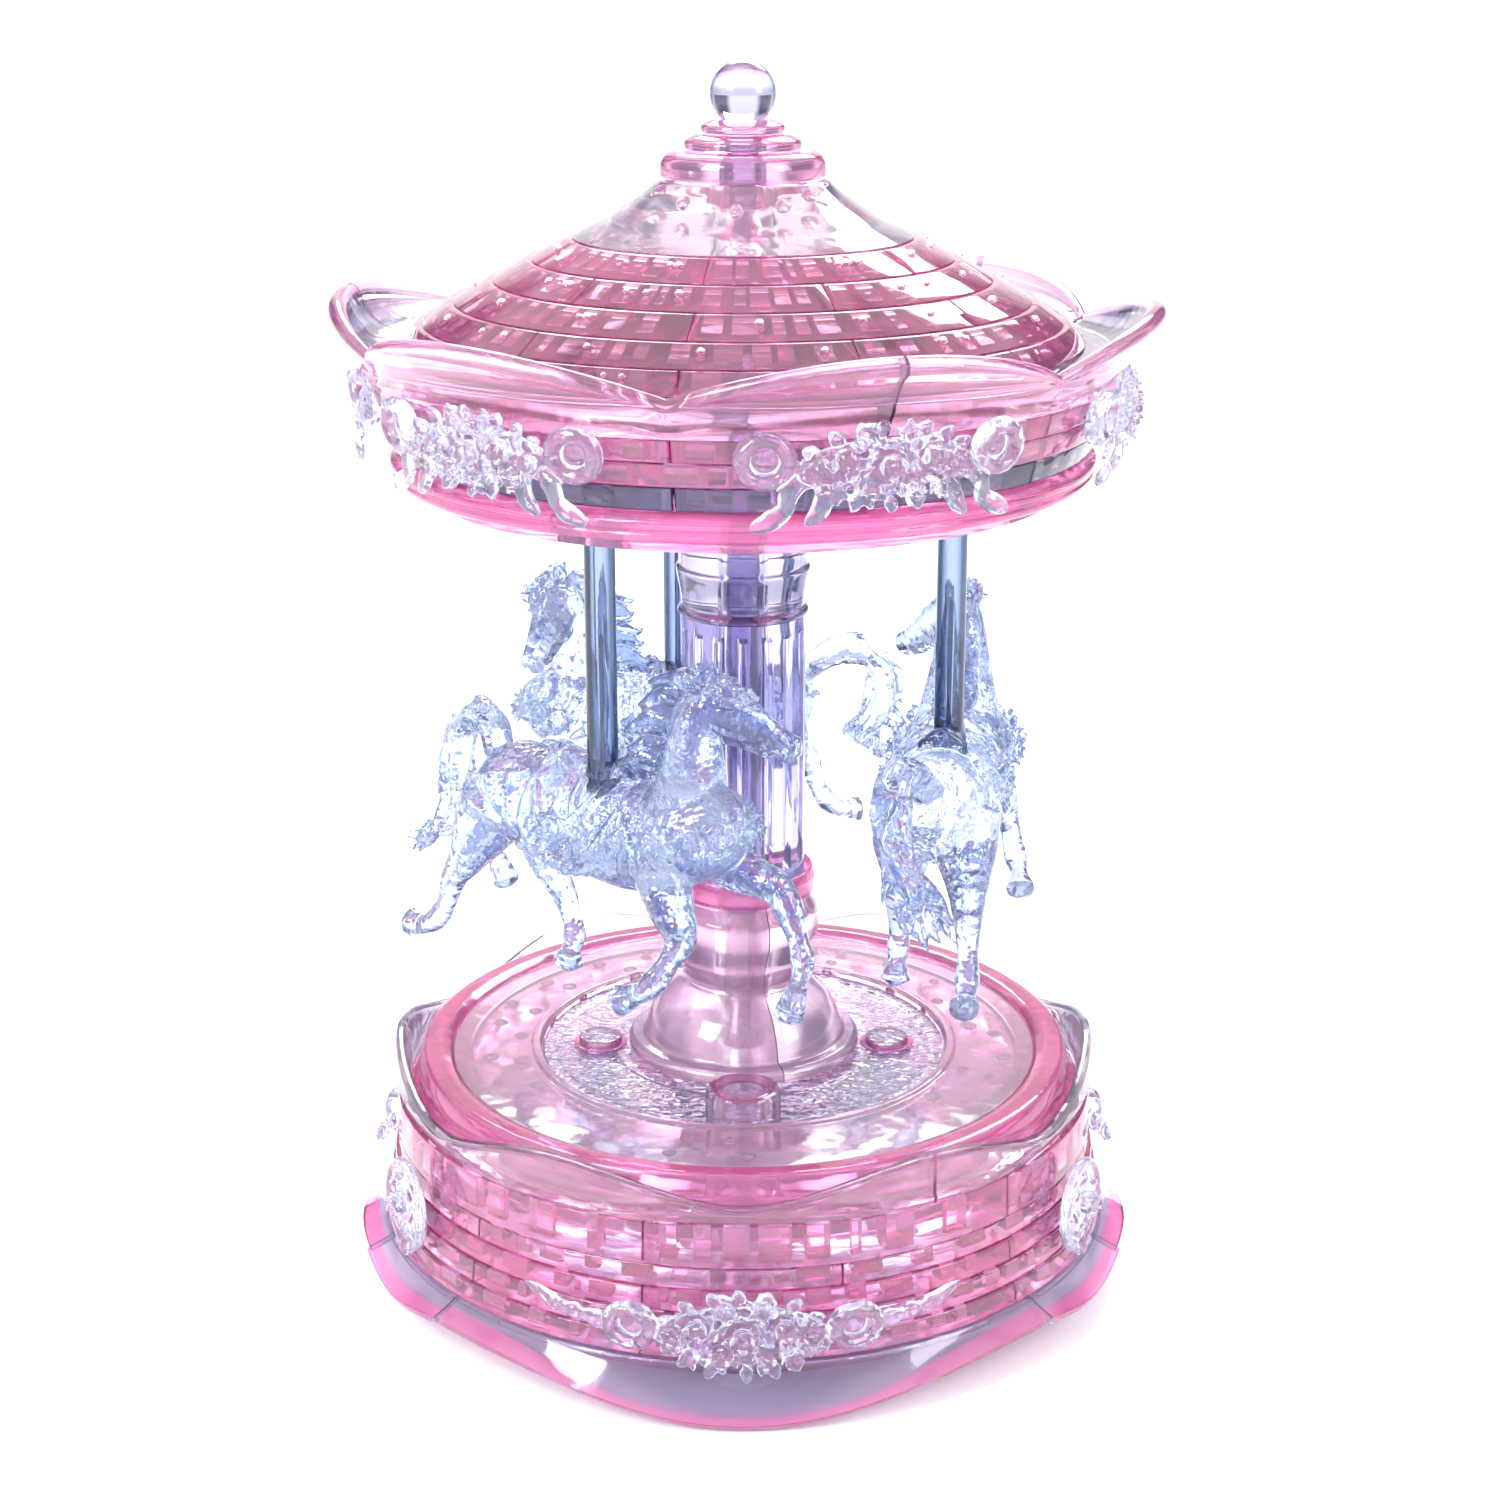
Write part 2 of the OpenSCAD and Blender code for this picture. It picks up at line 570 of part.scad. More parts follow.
// Three rounded discs; the ball sits in a cup in the top one
module cap_tiers() {
    color(PINK) difference() {
        rotate_extrude() union() {
            polygon([[rod_r + fit, peak_z], [12.9, peak_z], [12.9, 184.4], [12.4, 185.6],
                [11.2, 186.4], [rod_r + fit, 186.4]]);
            polygon([[rod_r + fit, 186.5], [9.1, 186.5], [9.1, 188], [8.4, 188.9],
                [rod_r + fit, 188.9]]);
            polygon([[0, 189], [6.5, 189], [6.5, 190.4], [5.8, 191.2], [0, 191.2]]);
        }
        translate([0, 0, finial_z]) sphere(r = finial_r + fit);
    }
}
module finial() { color(CLEAR) translate([0, 0, finial_z]) sphere(r = finial_r); }
module pole(i) {
    color(CLEAR) translate(pol(pole_ring_r, carousel_turn + 60 + i * 120, saddle_z - 3))
        cylinder(r = pole_r, h = pole_top - saddle_z + 3);
}

// ---------------------------------------------------------------- horses

// One stretch of the horse from a to b, both [forwards, outwards, height, radius]
module limb(a, b) {
    hull() {
        translate([a[0], -a[1], a[2]]) sphere(r = a[3], $fn = 8);
        translate([b[0], -b[1], b[2]]) sphere(r = b[3], $fn = 8);
    }
}
module limbs(points) { for (i = [0:len(points) - 2]) limb(points[i], points[i + 1]); }
trunk = [[-19, 0, 86.5, 7.6], [-2, 0, 84.5, 7.4], [15, 0, 87, 8.2]];
neck = [[14, 0, 90.5, 7], [16, 0, 99, 5.8], [20.5, -0.6, 106, 4.2]];
head = [[21, -1, 107, 4.2], [27, -7, 101.6, 3.2], [29.6, -10.6, 98.6, 2.2]];
fore_inner = [[19, -4, 84, 4.2], [31.5, -5, 79.4, 2.8], [35.5, -5, 68.5, 1.8], [33.6, -5, 60.4, 2.2]];
fore_outer = [[16, 5, 82, 4.2], [22.5, 8, 73, 2.7], [19.5, 10, 66.4, 1.8], [14.2, 11, 62.6, 2.2]];
hind_outer = [[-20, 5, 84, 5.4], [-24.5, 6, 75.5, 3], [-28, 6.5, 66.4, 1.9], [-37, 7, 61, 2.2]];
hind_inner = [[-18, -4, 82, 5], [-19, -5, 74.6, 3.2], [-13.4, -6, 66, 1.9], [-14.2, -6, 56, 2.3]];
tail = [[-24, -2, 92.5, 2.6], [-30.4, -4, 93.4, 3], [-36.4, -4.6, 87, 3], [-34, -2, 78.6, 2.8],
    [-40, 1.6, 74, 1.8]];
module horse(i) {
    color(CLEAR) at(carousel_turn + 60 + i * 120, pole_ring_r) {
        limbs(trunk);
        limbs(neck);
        limbs(head);
        limbs(fore_inner);
        limbs(fore_outer);
        limbs(hind_outer);
        limbs(hind_inner);
        limbs(tail);
        translate([0, 0, 86]) cylinder(r = 4, h = saddle_z - 86, $fn = 12);
    }
}

rubber_feet();
bottom_cover();
skirt_lobe(0);  // skirt_lobe_1
skirt_lobe(120);  // skirt_lobe_2
skirt_lobe(240);  // skirt_lobe_3
skirt_links();
drum_layer(1);  // drum_layer_1
drum_layer(2);  // drum_layer_2
drum_layer(3);  // drum_layer_3
drum_layer(4);  // drum_layer_4
drum_layer(5);  // drum_layer_5
crown_segment(0);  // crown_segment_1
crown_segment(1);  // crown_segment_2
crown_segment(2);  // crown_segment_3
deck_rim();
deck_plate();
deck_disc();
deck_posts();
base_garlands();
medallions();
bedplate();
music_comb();
screws();
winding_arbor();
winding_key();
music_cylinder();
governor_fan();
stop_button();
brake_arm();
spring_barrel();
mainspring();
drive_spindle();
centre_rod();
column_foot();
column_shaft();
collar_ring();
column_capital();
canopy_plate();
rim_ring();
frieze_layer(1);  // frieze_layer_1
frieze_layer(2);  // frieze_layer_2
frieze_layer(3);  // frieze_layer_3
eave_segment(0);  // eave_segment_1
eave_segment(1);  // eave_segment_2
eave_segment(2);  // eave_segment_3
roof_garlands();
roof_layer(1);  // roof_layer_1
roof_layer(2);  // roof_layer_2
roof_layer(3);  // roof_layer_3
roof_layer(4);  // roof_layer_4
roof_layer(5);  // roof_layer_5
roof_peak();
cap_tiers();
finial();
pole(0);  // pole_1
pole(1);  // pole_2
pole(2);  // pole_3
horse(0);  // horse_1
horse(1);  // horse_2
horse(2);  // horse_3
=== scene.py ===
"""Looks for the carousel music box: clear and pink moulded blocks, horses, garlands and studio.

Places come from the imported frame. Azimuths are in degrees from the front (-Y), turning towards +X.
Shapes are worked out in millimetres and turned into metres when a mesh is made.
"""

from math import cos, degrees, exp, hypot, pi, radians, sin
from random import Random

import bmesh
import bpy
from mathutils import Matrix, Vector


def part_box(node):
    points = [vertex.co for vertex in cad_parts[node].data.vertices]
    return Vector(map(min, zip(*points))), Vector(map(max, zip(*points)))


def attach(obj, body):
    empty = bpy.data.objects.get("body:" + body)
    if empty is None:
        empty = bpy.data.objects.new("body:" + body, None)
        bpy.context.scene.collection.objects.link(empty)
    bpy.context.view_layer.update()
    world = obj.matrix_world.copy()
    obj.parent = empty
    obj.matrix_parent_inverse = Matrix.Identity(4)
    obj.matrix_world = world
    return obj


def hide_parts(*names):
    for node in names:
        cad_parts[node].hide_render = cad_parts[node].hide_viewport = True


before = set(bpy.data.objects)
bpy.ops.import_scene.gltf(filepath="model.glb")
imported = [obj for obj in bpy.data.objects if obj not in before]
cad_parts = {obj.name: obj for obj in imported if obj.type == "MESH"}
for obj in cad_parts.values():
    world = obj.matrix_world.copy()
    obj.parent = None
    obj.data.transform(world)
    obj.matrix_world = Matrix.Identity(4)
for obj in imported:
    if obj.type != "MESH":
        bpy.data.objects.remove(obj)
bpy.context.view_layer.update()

MM = 0.001
AIR = 0.06  # gap left between two pieces that touch, so that each keeps its own surface
TURN = 20  # the carousel's turn from the base's own symmetry, in degrees
LEVEL = 0.05  # how far a CAD corner may be from a height and still count as on it
THINNEST = 0.05  # least radius of a rod
SHARP = 32  # edges that turn by more than this many degrees stay sharp
THIRDS = (0, 120, 240)
OUT = (0, -1, 0)  # the way that a flat piece made at the origin faces


# -------------------- small helpers

def pol(r, az, z):
    """A point at radius r, azimuth az and height z."""
    a = radians(az)
    return Vector((r * sin(a), -r * cos(a), z))


def mix(a, b, t):
    return a + (b - a) * t


def evenly(a, b, steps):
    """The ends of steps equal steps from a to b."""
    return [mix(a, b, k / steps) for k in range(steps + 1)]


def ease(t):
    """0 to 1 with level ends."""
    t = min(max(t, 0.0), 1.0)
    return t * t * (3 - 2 * t)


def wave(count, az, peak):
    """A cosine round the axis with count crests, one at azimuth peak."""
    return cos(radians(count * (az - peak)))


def box_mm(node):
    low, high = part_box(node)
    return low / MM, high / MM


def top(node):
    return box_mm(node)[1].z


def bottom(node):
    return box_mm(node)[0].z


def radii_at(node, z):
    """(smallest, largest) radius of a CAD node's corners at height z."""
    found = [hypot(v.co.x, v.co.y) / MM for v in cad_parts[node].data.vertices
             if abs(v.co.z / MM - z) < LEVEL]
    return min(found), max(found)


def rounded(points, radius, steps=3):
    """A closed outline with each corner cut to a small arc."""
    out = []
    n = len(points)
    for i, p in enumerate(points):
        p = Vector(p)
        a, b = Vector(points[i - 1]) - p, Vector(points[(i + 1) % n]) - p
        r = min(radius, a.length * 0.45, b.length * 0.45)
        a, b = p + a.normalized() * r, p + b.normalized() * r
        for k in range(steps + 1):
            t = k / steps
            out.append(tuple((1 - t) ** 2 * a + 2 * t * (1 - t) * p + t * t * b))
    return out


def curve_through(points, per=6):
    """A smooth line through points (any number of values each), with per steps between two."""
    pts = [Vector(p) for p in points]
    pts = [2 * pts[0] - pts[1]] + pts + [2 * pts[-1] - pts[-2]]
    out = []
    for i in range(1, len(pts) - 2):
        for k in range(per):
            t = k / per
            p0, p1, p2, p3 = pts[i - 1:i + 3]
            out.append(0.5 * (2 * p1 + (p2 - p0) * t + (2 * p0 - 5 * p1 + 4 * p2 - p3) * t * t
                              + (3 * p1 - p0 - 3 * p2 + p3) * t * t * t))
    out.append(pts[-2])
    return out


class Shape:
    """Closed shells in millimetres, gathered for one mesh. A shell faces outwards, or inwards if hollow."""

    def __init__(self):
        self.verts, self.faces, self.marks = [], [], []

    def shell(self, verts, faces, hollow=False, marks=None):
        volume = 0.0
        for f in faces:
            for k in range(1, len(f) - 1):
                volume += verts[f[0]].dot(verts[f[k]].cross(verts[f[k + 1]]))
        flip = (volume < 0) != hollow
        base = len(self.verts)
        self.verts += verts
        self.faces += [tuple(base + i for i in (reversed(f) if flip else f)) for f in faces]
        self.marks += marks or [0] * len(faces)

    def sweep(self, azimuths, sections, hollow=False, closed=False, marks=None):
        """Joins up sections of [(r, z), ...], one at each azimuth. marks numbers each side's material."""
        n, m = len(sections[0]), len(azimuths)
        verts = [pol(r, az, z) for az, s in zip(azimuths, sections) for r, z in s]
        faces, found = [], []
        for i in range(m if closed else m - 1):
            for j in range(n):
                a, b = i * n + j, i * n + (j + 1) % n
                c, d = (i + 1) % m * n + (j + 1) % n, (i + 1) % m * n + j
                faces.append((a, b, c, d))
                found.append(marks[j] if marks else 0)
        if not closed:
            faces += [tuple(range(n)), tuple(range((m - 1) * n, m * n))[::-1]]
            found += [marks[0] if marks else 0] * 2
        self.shell(verts, faces, hollow, found)

    def add(self, other, offset):
        """All shells of another shape, moved by offset."""
        base = len(self.verts)
        self.verts += [v + offset for v in other.verts]
        self.faces += [tuple(base + i for i in f) for f in other.faces]
        self.marks += other.marks

    def lathe(self, outline, steps=160, hollow=False, marks=None):
        """A closed outline [(r, z), ...] turned round the axis. It may start and end on the axis, and then
        has one material."""
        if outline[0][0] > 1e-6:
            self.sweep([i * 360 / steps for i in range(steps)], [outline] * steps, hollow, True, marks)
            return
        inner = outline[1:-1]
        n = len(inner)
        verts = [pol(r, i * 360 / steps, z) for i in range(steps) for r, z in inner]
        verts += [Vector((0, 0, outline[0][1])), Vector((0, 0, outline[-1][1]))]
        first, last = len(verts) - 2, len(verts) - 1
        faces = []
        for i in range(steps):
            a, b = i * n, (i + 1) % steps * n
            faces += [(a + j, a + j + 1, b + j + 1, b + j) for j in range(n - 1)]
            faces += [(first, a, b), (last, b + n - 1, a + n - 1)]
        self.shell(verts, faces, hollow)

    def blob(self, centre, size, turn=None, detail=2, hollow=False):
        """An egg shape: size is its three half lengths, turn a rotation."""
        bm = bmesh.new()
        bmesh.ops.create_icosphere(bm, subdivisions=detail, radius=1)
        aim = turn.to_matrix().to_4x4() if turn else Matrix.Identity(4)
        bm.transform(Matrix.Translation(centre) @ aim @ Matrix.Diagonal((*size, 1)))
        bm.verts.index_update()
        verts = [v.co.copy() for v in bm.verts]
        self.shell(verts, [tuple(v.index for v in f.verts) for f in bm.faces], hollow)
        bm.free()

    def tube(self, points, sides=10, flat=1.0, up=(0, 0, 1), per=5):
        """A round rod along points [(x, y, z, radius), ...]; flat squeezes it across up."""
        line = curve_through(points, per)
        verts, faces = [], []
        up = Vector(up)
        n = len(line)
        for i, p in enumerate(line):
            ahead = (line[min(i + 1, n - 1)] - line[max(i - 1, 0)]).xyz.normalized()
            side = ahead.cross(up)
            side = side.normalized() if side.length > 1e-3 else ahead.orthogonal().normalized()
            other = side.cross(ahead)
            r = max(p.w, THINNEST)
            for k in range(sides):
                a = 2 * pi * k / sides
                verts.append(p.xyz + side * (r * cos(a)) + other * (r * flat * sin(a)))
        for i in range(n - 1):
            for k in range(sides):
                a, b = i * sides + k, i * sides + (k + 1) % sides
                faces.append((a, b, b + sides, a + sides))
        for i, sign in ((0, -1), (n - 1, 1)):
            ahead = (line[min(i + 1, n - 1)] - line[max(i - 1, 0)]).xyz.normalized()
            verts.append(line[i].xyz + ahead * (sign * line[i].w * 0.6))
            tip = len(verts) - 1
            for k in range(sides):
                a, b = i * sides + k, i * sides + (k + 1) % sides
                faces.append((a, b, tip) if sign > 0 else (b, a, tip))
        self.shell(verts, faces)

    def mesh(self, name):
        me = bpy.data.meshes.new(name)
        me.from_pydata([tuple(v * MM) for v in self.verts], [], self.faces)
        me.polygons.foreach_set("material_index", self.marks)
        me.polygons.foreach_set("use_smooth", [True] * len(self.faces))
        me.set_sharp_from_angle(angle=radians(SHARP))
        me.update()
        return me

    def place(self, name, *finish):
        """Makes the shape a piece: see place."""
        place(name, self.mesh(name), *finish)


def place(name, me, body, slot, materials, nodes, matrix=None):
    """Makes a mesh a piece that rides on a body, with its finish, and stands for the given CAD nodes.
    A matrix is worked into a copy of the mesh, so that the piece's box stays tight."""
    if matrix:
        me = me.copy()
        me.transform(matrix)
    ob = bpy.data.objects.new(name, me)
    bpy.context.scene.collection.objects.link(ob)
    if not me.materials:
        for m in materials:
            me.materials.append(m)
    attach(ob, body)
    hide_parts(*nodes)


def fused(shape, name, voxel, smooth, bend=None):
    """One skin round all of a shape's shells: remeshed at voxel mm, smoothed smooth times, then bent."""
    me = shape.mesh(name)
    ob = bpy.data.objects.new(name, me)
    bpy.context.scene.collection.objects.link(ob)
    skin = ob.modifiers.new("skin", "REMESH")
    skin.mode = "VOXEL"
    skin.voxel_size = voxel * MM
    soft = ob.modifiers.new("soft", "SMOOTH")
    soft.factor = 0.5
    soft.iterations = smooth
    done = bpy.data.meshes.new_from_object(ob.evaluated_get(bpy.context.evaluated_depsgraph_get()))
    bpy.data.objects.remove(ob)
    bpy.data.meshes.remove(me)
    done.name = name
    if bend:
        for v in done.vertices:
            v.co = bend(v.co / MM) * MM
    done.polygons.foreach_set("use_smooth", [True] * len(done.polygons))
    done.update()
    return done


# -------------------- materials

FROM_LOW, FROM_HIGH, TO_LOW, TO_HIGH = 1, 2, 3, 4  # sockets of a map range node
AMOUNT, FIRST, SECOND = 0, 6, 7  # sockets of a colour mix node
MIXED = 2  # its colour output
ACRYLIC_IOR = 1.49


def add_node(nt, kind, sockets=None, **settings):
    """A new shader node with some of its settings and sockets filled in."""
    node = nt.nodes.new("ShaderNode" + kind)
    for name, value in settings.items():
        setattr(node, name, value)
    for socket, value in (sockets or {}).items():
        node.inputs[socket].default_value = value
    return node


def new_material(name, **values):
    """A material, with its node tree and its Principled shader set to values."""
    mat = bpy.data.materials.new(name)
    mat.use_nodes = True
    shader = mat.node_tree.nodes["Principled BSDF"]
    for socket, value in values.items():
        shader.inputs[socket.replace("_", " ")].default_value = value
    return mat, mat.node_tree, shader


def moulded(name, tint, edge, turn=(0.15, 0.9), clear=0.85, rough=0.03, ripple=0.12, grain=140, mottle=0.5):
    """Clear moulded plastic: tint seen straight on, and edge, a painted shade and painted dark reflection
    that takes over where the surface turns away from the view; wavy skin and clouds in the colour. turn gives
    where the painted edge starts and takes over (0 straight on, 1 edge on), and clear is the share of light
    that goes through."""
    mat, nt, shader = new_material(name, Transmission_Weight=clear, IOR=ACRYLIC_IOR)
    link = nt.links.new
    place_at = add_node(nt, "TexCoord")
    cloud = add_node(nt, "TexNoise", {"Scale": grain, "Detail": 2})
    link(place_at.outputs["Object"], cloud.inputs["Vector"])
    # Painted shade and painted dark reflection: the base colour goes from tint to edge as the surface turns
    # away from the view.
    facing = add_node(nt, "LayerWeight", {"Blend": 0.5})
    band = add_node(nt, "MapRange", {FROM_LOW: turn[0], FROM_HIGH: turn[1]})
    link(facing.outputs["Facing"], band.inputs[0])
    spread = add_node(nt, "Math", {1: mottle, 2: -mottle / 2}, operation="MULTIPLY_ADD")
    link(cloud.outputs["Fac"], spread.inputs[0])
    total = add_node(nt, "Math", operation="ADD", use_clamp=True)
    link(band.outputs[0], total.inputs[0])
    link(spread.outputs[0], total.inputs[1])
    colour = add_node(nt, "Mix", {FIRST: (*tint, 1), SECOND: (*edge, 1)}, data_type="RGBA")
    link(total.outputs[0], colour.inputs[AMOUNT])
    link(colour.outputs[MIXED], shader.inputs["Base Color"])
    skin = add_node(nt, "MapRange", {TO_LOW: rough, TO_HIGH: rough * 3})
    link(cloud.outputs["Fac"], skin.inputs[0])
    link(skin.outputs[0], shader.inputs["Roughness"])
    waves = add_node(nt, "TexNoise", {"Scale": grain * 1.7, "Detail": 1})
    link(place_at.outputs["Object"], waves.inputs["Vector"])
    bump = add_node(nt, "Bump", {"Strength": ripple, "Distance": MM})
    link(waves.outputs["Fac"], bump.inputs["Height"])
    link(bump.outputs[0], shader.inputs["Normal"])
    return mat


def metal(name, colour, rough):
    """Plated metal with fine brushing."""
    mat, nt, shader = new_material(name, Metallic=1)
    link = nt.links.new
    place_at = add_node(nt, "TexCoord")
    stretch = add_node(nt, "Mapping", {"Scale": (1, 12, 1)})
    link(place_at.outputs["Object"], stretch.inputs["Vector"])
    lines = add_node(nt, "TexNoise", {"Scale": 900})
    link(stretch.outputs[0], lines.inputs["Vector"])
    dull = [c * 0.8 for c in colour]
    tone = add_node(nt, "Mix", {FIRST: (*colour, 1), SECOND: (*dull, 1)}, data_type="RGBA")
    link(lines.outputs["Fac"], tone.inputs[AMOUNT])
    link(tone.outputs[MIXED], shader.inputs["Base Color"])
    skin = add_node(nt, "MapRange", {TO_LOW: rough, TO_HIGH: rough * 1.8})
    link(lines.outputs["Fac"], skin.inputs[0])
    link(skin.outputs[0], shader.inputs["Roughness"])
    return mat


# The first colour of each moulded material is the plastic's own tint. The second is its painted edge: painted
# shade and painted dark reflection where the surface turns away from the view.
PINK = moulded("pink_plastic", (1.0, 0.6, 0.83), (0.96, 0.28, 0.58), clear=0.92, mottle=0.8, grain=90)
BLUSH = moulded("blush_plastic", (0.92, 0.76, 0.88), (0.4, 0.3, 0.48), turn=(0.3, 1.1), clear=0.93,
                mottle=0.7)
ROSE = moulded("hot_pink_plastic", (0.97, 0.4, 0.68), (0.88, 0.14, 0.45), clear=0.84)
LILAC = moulded("lilac_clear_plastic", (0.53, 0.49, 0.71), (0.18, 0.16, 0.3), clear=0.95)
CLEAR = moulded("clear_plastic", (0.5, 0.59, 0.8), (0.05, 0.1, 0.22), turn=(0.2, 1.0), clear=0.95, ripple=0.5,
                grain=330, mottle=0.6)
FLORAL = moulded("garland_plastic", (0.84, 0.86, 0.98), (0.4, 0.42, 0.68), turn=(0.3, 1.1), clear=0.95,
                 ripple=0.3, grain=330)
BALL = moulded("ball_plastic", (0.66, 0.66, 0.82), (0.07, 0.09, 0.18), turn=(0.2, 0.75), clear=0.97,
               ripple=0.02)
# The pole's near-black painted edge covers all but the middle of the rod: painted dark reflection.
POLE = moulded("pole_plastic", (0.25, 0.32, 0.5), (0.01, 0.03, 0.07), turn=(0.03, 0.24), clear=0.97,
               ripple=0.05, mottle=0.1)
# Pale pink plastic with a strong slate painted edge, put on the inward faces of the crown and of the eave's
# bowls: painted dark reflection.
PAINTED_SLATE_PINK = moulded("pink_plastic_painted_slate", (0.86, 0.74, 0.85), (0.1, 0.14, 0.2), turn=(0.25, 0.7), clear=0.95)
FOOT = moulded("foot_plastic", (0.95, 0.72, 0.86), (0.62, 0.38, 0.58), clear=0.86, rough=0.06)
SKIRT = moulded("skirt_plastic", (0.68, 0.63, 0.83), (0.42, 0.38, 0.6), clear=0.9, ripple=0.03)
DECK = moulded("deck_plastic", (0.84, 0.68, 0.79), (0.62, 0.38, 0.56), clear=0.87, rough=0.05, mottle=0.8)
NICKEL = metal("nickel_plate", (0.86, 0.84, 0.84), 0.22)
STEEL = metal("spring_steel", (0.78, 0.78, 0.8), 0.18)
RUBBER = moulded("pale_rubber", (0.86, 0.84, 0.88), (0.7, 0.66, 0.74), clear=0.25, rough=0.3, grain=1500)


# -------------------- courses of blocks

BLOCKS = 6  # in a course
BLOCK_TURN = 360 / BLOCKS
BLOCK_STEPS = 14  # spans that make up a block's curve
SEAM = 0.1  # half the joint between two neighbouring blocks, in degrees
BLOCK_ROUND = 0.35  # rounding of a block's edges
END_ROUND = 0.15  # how far from its end a block starts to narrow
POCKET_SKIN = 0.55  # plastic left above and below a pocket
LEAST_POCKET = 0.8  # a shallower pocket is left out


def block(shape, a0, a1, outline, pockets):
    """One block between azimuths a0 and a1, its ends rounded, with pockets moulded into it. A pocket is its
    azimuth, its half width in degrees and its corners."""
    section = rounded(outline, BLOCK_ROUND)
    cr = sum(p[0] for p in section) / len(section)
    cz = sum(p[1] for p in section) / len(section)
    shrunk = [(mix(r, cr, 0.02), mix(z, cz, 0.08)) for r, z in section]
    edge = degrees(END_ROUND / cr)
    middle = [mix(a0 + edge, a1 - edge, i / BLOCK_STEPS) for i in range(1, BLOCK_STEPS)]
    azimuths = [a0, a0 + edge] + middle + [a1 - edge, a1]
    shape.sweep(azimuths, [shrunk] + [section] * (len(azimuths) - 2) + [shrunk])
    for az, half, corners in pockets:
        cell = rounded(corners, 0.3, 2)
        span = [mix(az - half, az + half, i / 3) for i in range(4)]
        shape.sweep(span, [cell] * 4, hollow=True)


def course(node, body, slot, material, seed, first, deep, pocket_count, studs=0, z0=None):
    """The blocks of one CAD course: same corners, with rounded edges, air joints and moulded pockets. first
    is a joint's azimuth, deep a pocket's greatest depth, and z0 the course's foot if it isn't the node's."""
    z0, z1 = z0 or bottom(node), top(node)
    r_in = radii_at(node, z1)[0]
    r_low, r_high = radii_at(node, z0)[1], radii_at(node, z1)[1]
    rng = Random(seed)
    shape = Shape()
    low, high = z0 + POCKET_SKIN, z1 - POCKET_SKIN
    for i in range(BLOCKS):
        a0, a1 = first + i * BLOCK_TURN + SEAM, first + (i + 1) * BLOCK_TURN - SEAM
        outline = [(r_in, z0 + AIR), (r_low, z0 + AIR), (r_high, z1 - AIR), (r_in, z1 - AIR)]
        pockets = []
        az = a0 + 2
        while az < a1 - 6:
            width = rng.uniform(0.7, 2.6)
            skin = rng.uniform(1.1, 2.4)
            deeper = rng.uniform(1.5, deep)
            corners = [(max(r_low - skin - deeper, r_in + LEAST_POCKET), low), (r_low - skin, low),
                       (r_high - skin, high), (max(r_high - skin - deeper, r_in + LEAST_POCKET), high)]
            if corners[2][0] - corners[3][0] > LEAST_POCKET:
                pockets.append((az + width, width, corners))
            az += 2 * width + rng.uniform(1.0, BLOCK_TURN / pocket_count)
        block(shape, a0, a1, outline, pockets)
        for _ in range(studs):
            az = rng.uniform(a0 + 4, a1 - 4)
            size = rng.uniform(0.5, 0.85)
            at = mix(r_low, r_high, 0.5) - size - 0.35
            for z in (mix(low, high, 0.2), mix(low, high, 0.75)):
                shape.blob(pol(at, az, z), (size, size, size * 0.8), hollow=True)
    name = node + "_blocks"
    shape.place(name, body, slot, [material], [node])


# -------------------- base: skirt, drum, crown, deck

SKIRT_TOP = (62.0, 9.9)  # (radius, height) where the skirt leaves the drum
SKIRT_IN = 58.4  # its inner radius there
SKIRT_R = -box_mm("skirt_lobe_1")[0].y - 0.2
SKIRT_ROLL = 0.45  # how far its rounded edge stands out
LOBE_HALF = 48  # half a lobe's width in degrees
LOBE_LOW = 1.15  # height of a lobe's edge at its middle
LOBE_RISE = 44  # degrees from there to where the edge is level again
ARCH_Z = 8.0  # height of the edge at a lobe's ends


def skirt_outline(edge_z, r_edge, thick, band):
    """A flared apron: out and down, a rounded edge, and back up inside. band is the pink edge's share."""
    run, drop = r_edge - SKIRT_TOP[0], SKIRT_TOP[1] - edge_z
    length = hypot(run, drop)
    nx, nz = -drop / length * thick, -run / length * thick
    share = [i / 10 * (1 - band) for i in range(11)] + [1 - band / 2, 1]
    outer = [(SKIRT_TOP[0] + run * t ** 1.3, SKIRT_TOP[1] - drop * t) for t in share]
    tip = outer[-1]
    round_edge = [(tip[0] + nx * k, tip[1] + nz * k - SKIRT_ROLL * sin(pi * k))
                  for k in (0.25, 0.5, 0.75)]
    inner = [(r + nx, z + nz) for r, z in outer[::-1][:-2]]
    return outer + round_edge + inner + [(SKIRT_IN, SKIRT_TOP[1] - 1.4), (SKIRT_IN, SKIRT_TOP[1])]


SKIRT_MARKS = [0] * 10 + [1] * 9 + [0] * 10  # clear, but for the pink edge


def lobe_edge(a):
    """Height of a lobe's edge, a degrees from its middle."""
    return LOBE_LOW + (ARCH_Z - LOBE_LOW) / 2 * (1 - wave(180 / LOBE_RISE, min(abs(a), LOBE_RISE), 0))


def lobe_band(a):
    """The share of a lobe that is pink: a thin edge in the middle, and most of it at the ends."""
    return 0.13 + 0.5 * ease((abs(a) - 14) / 28)


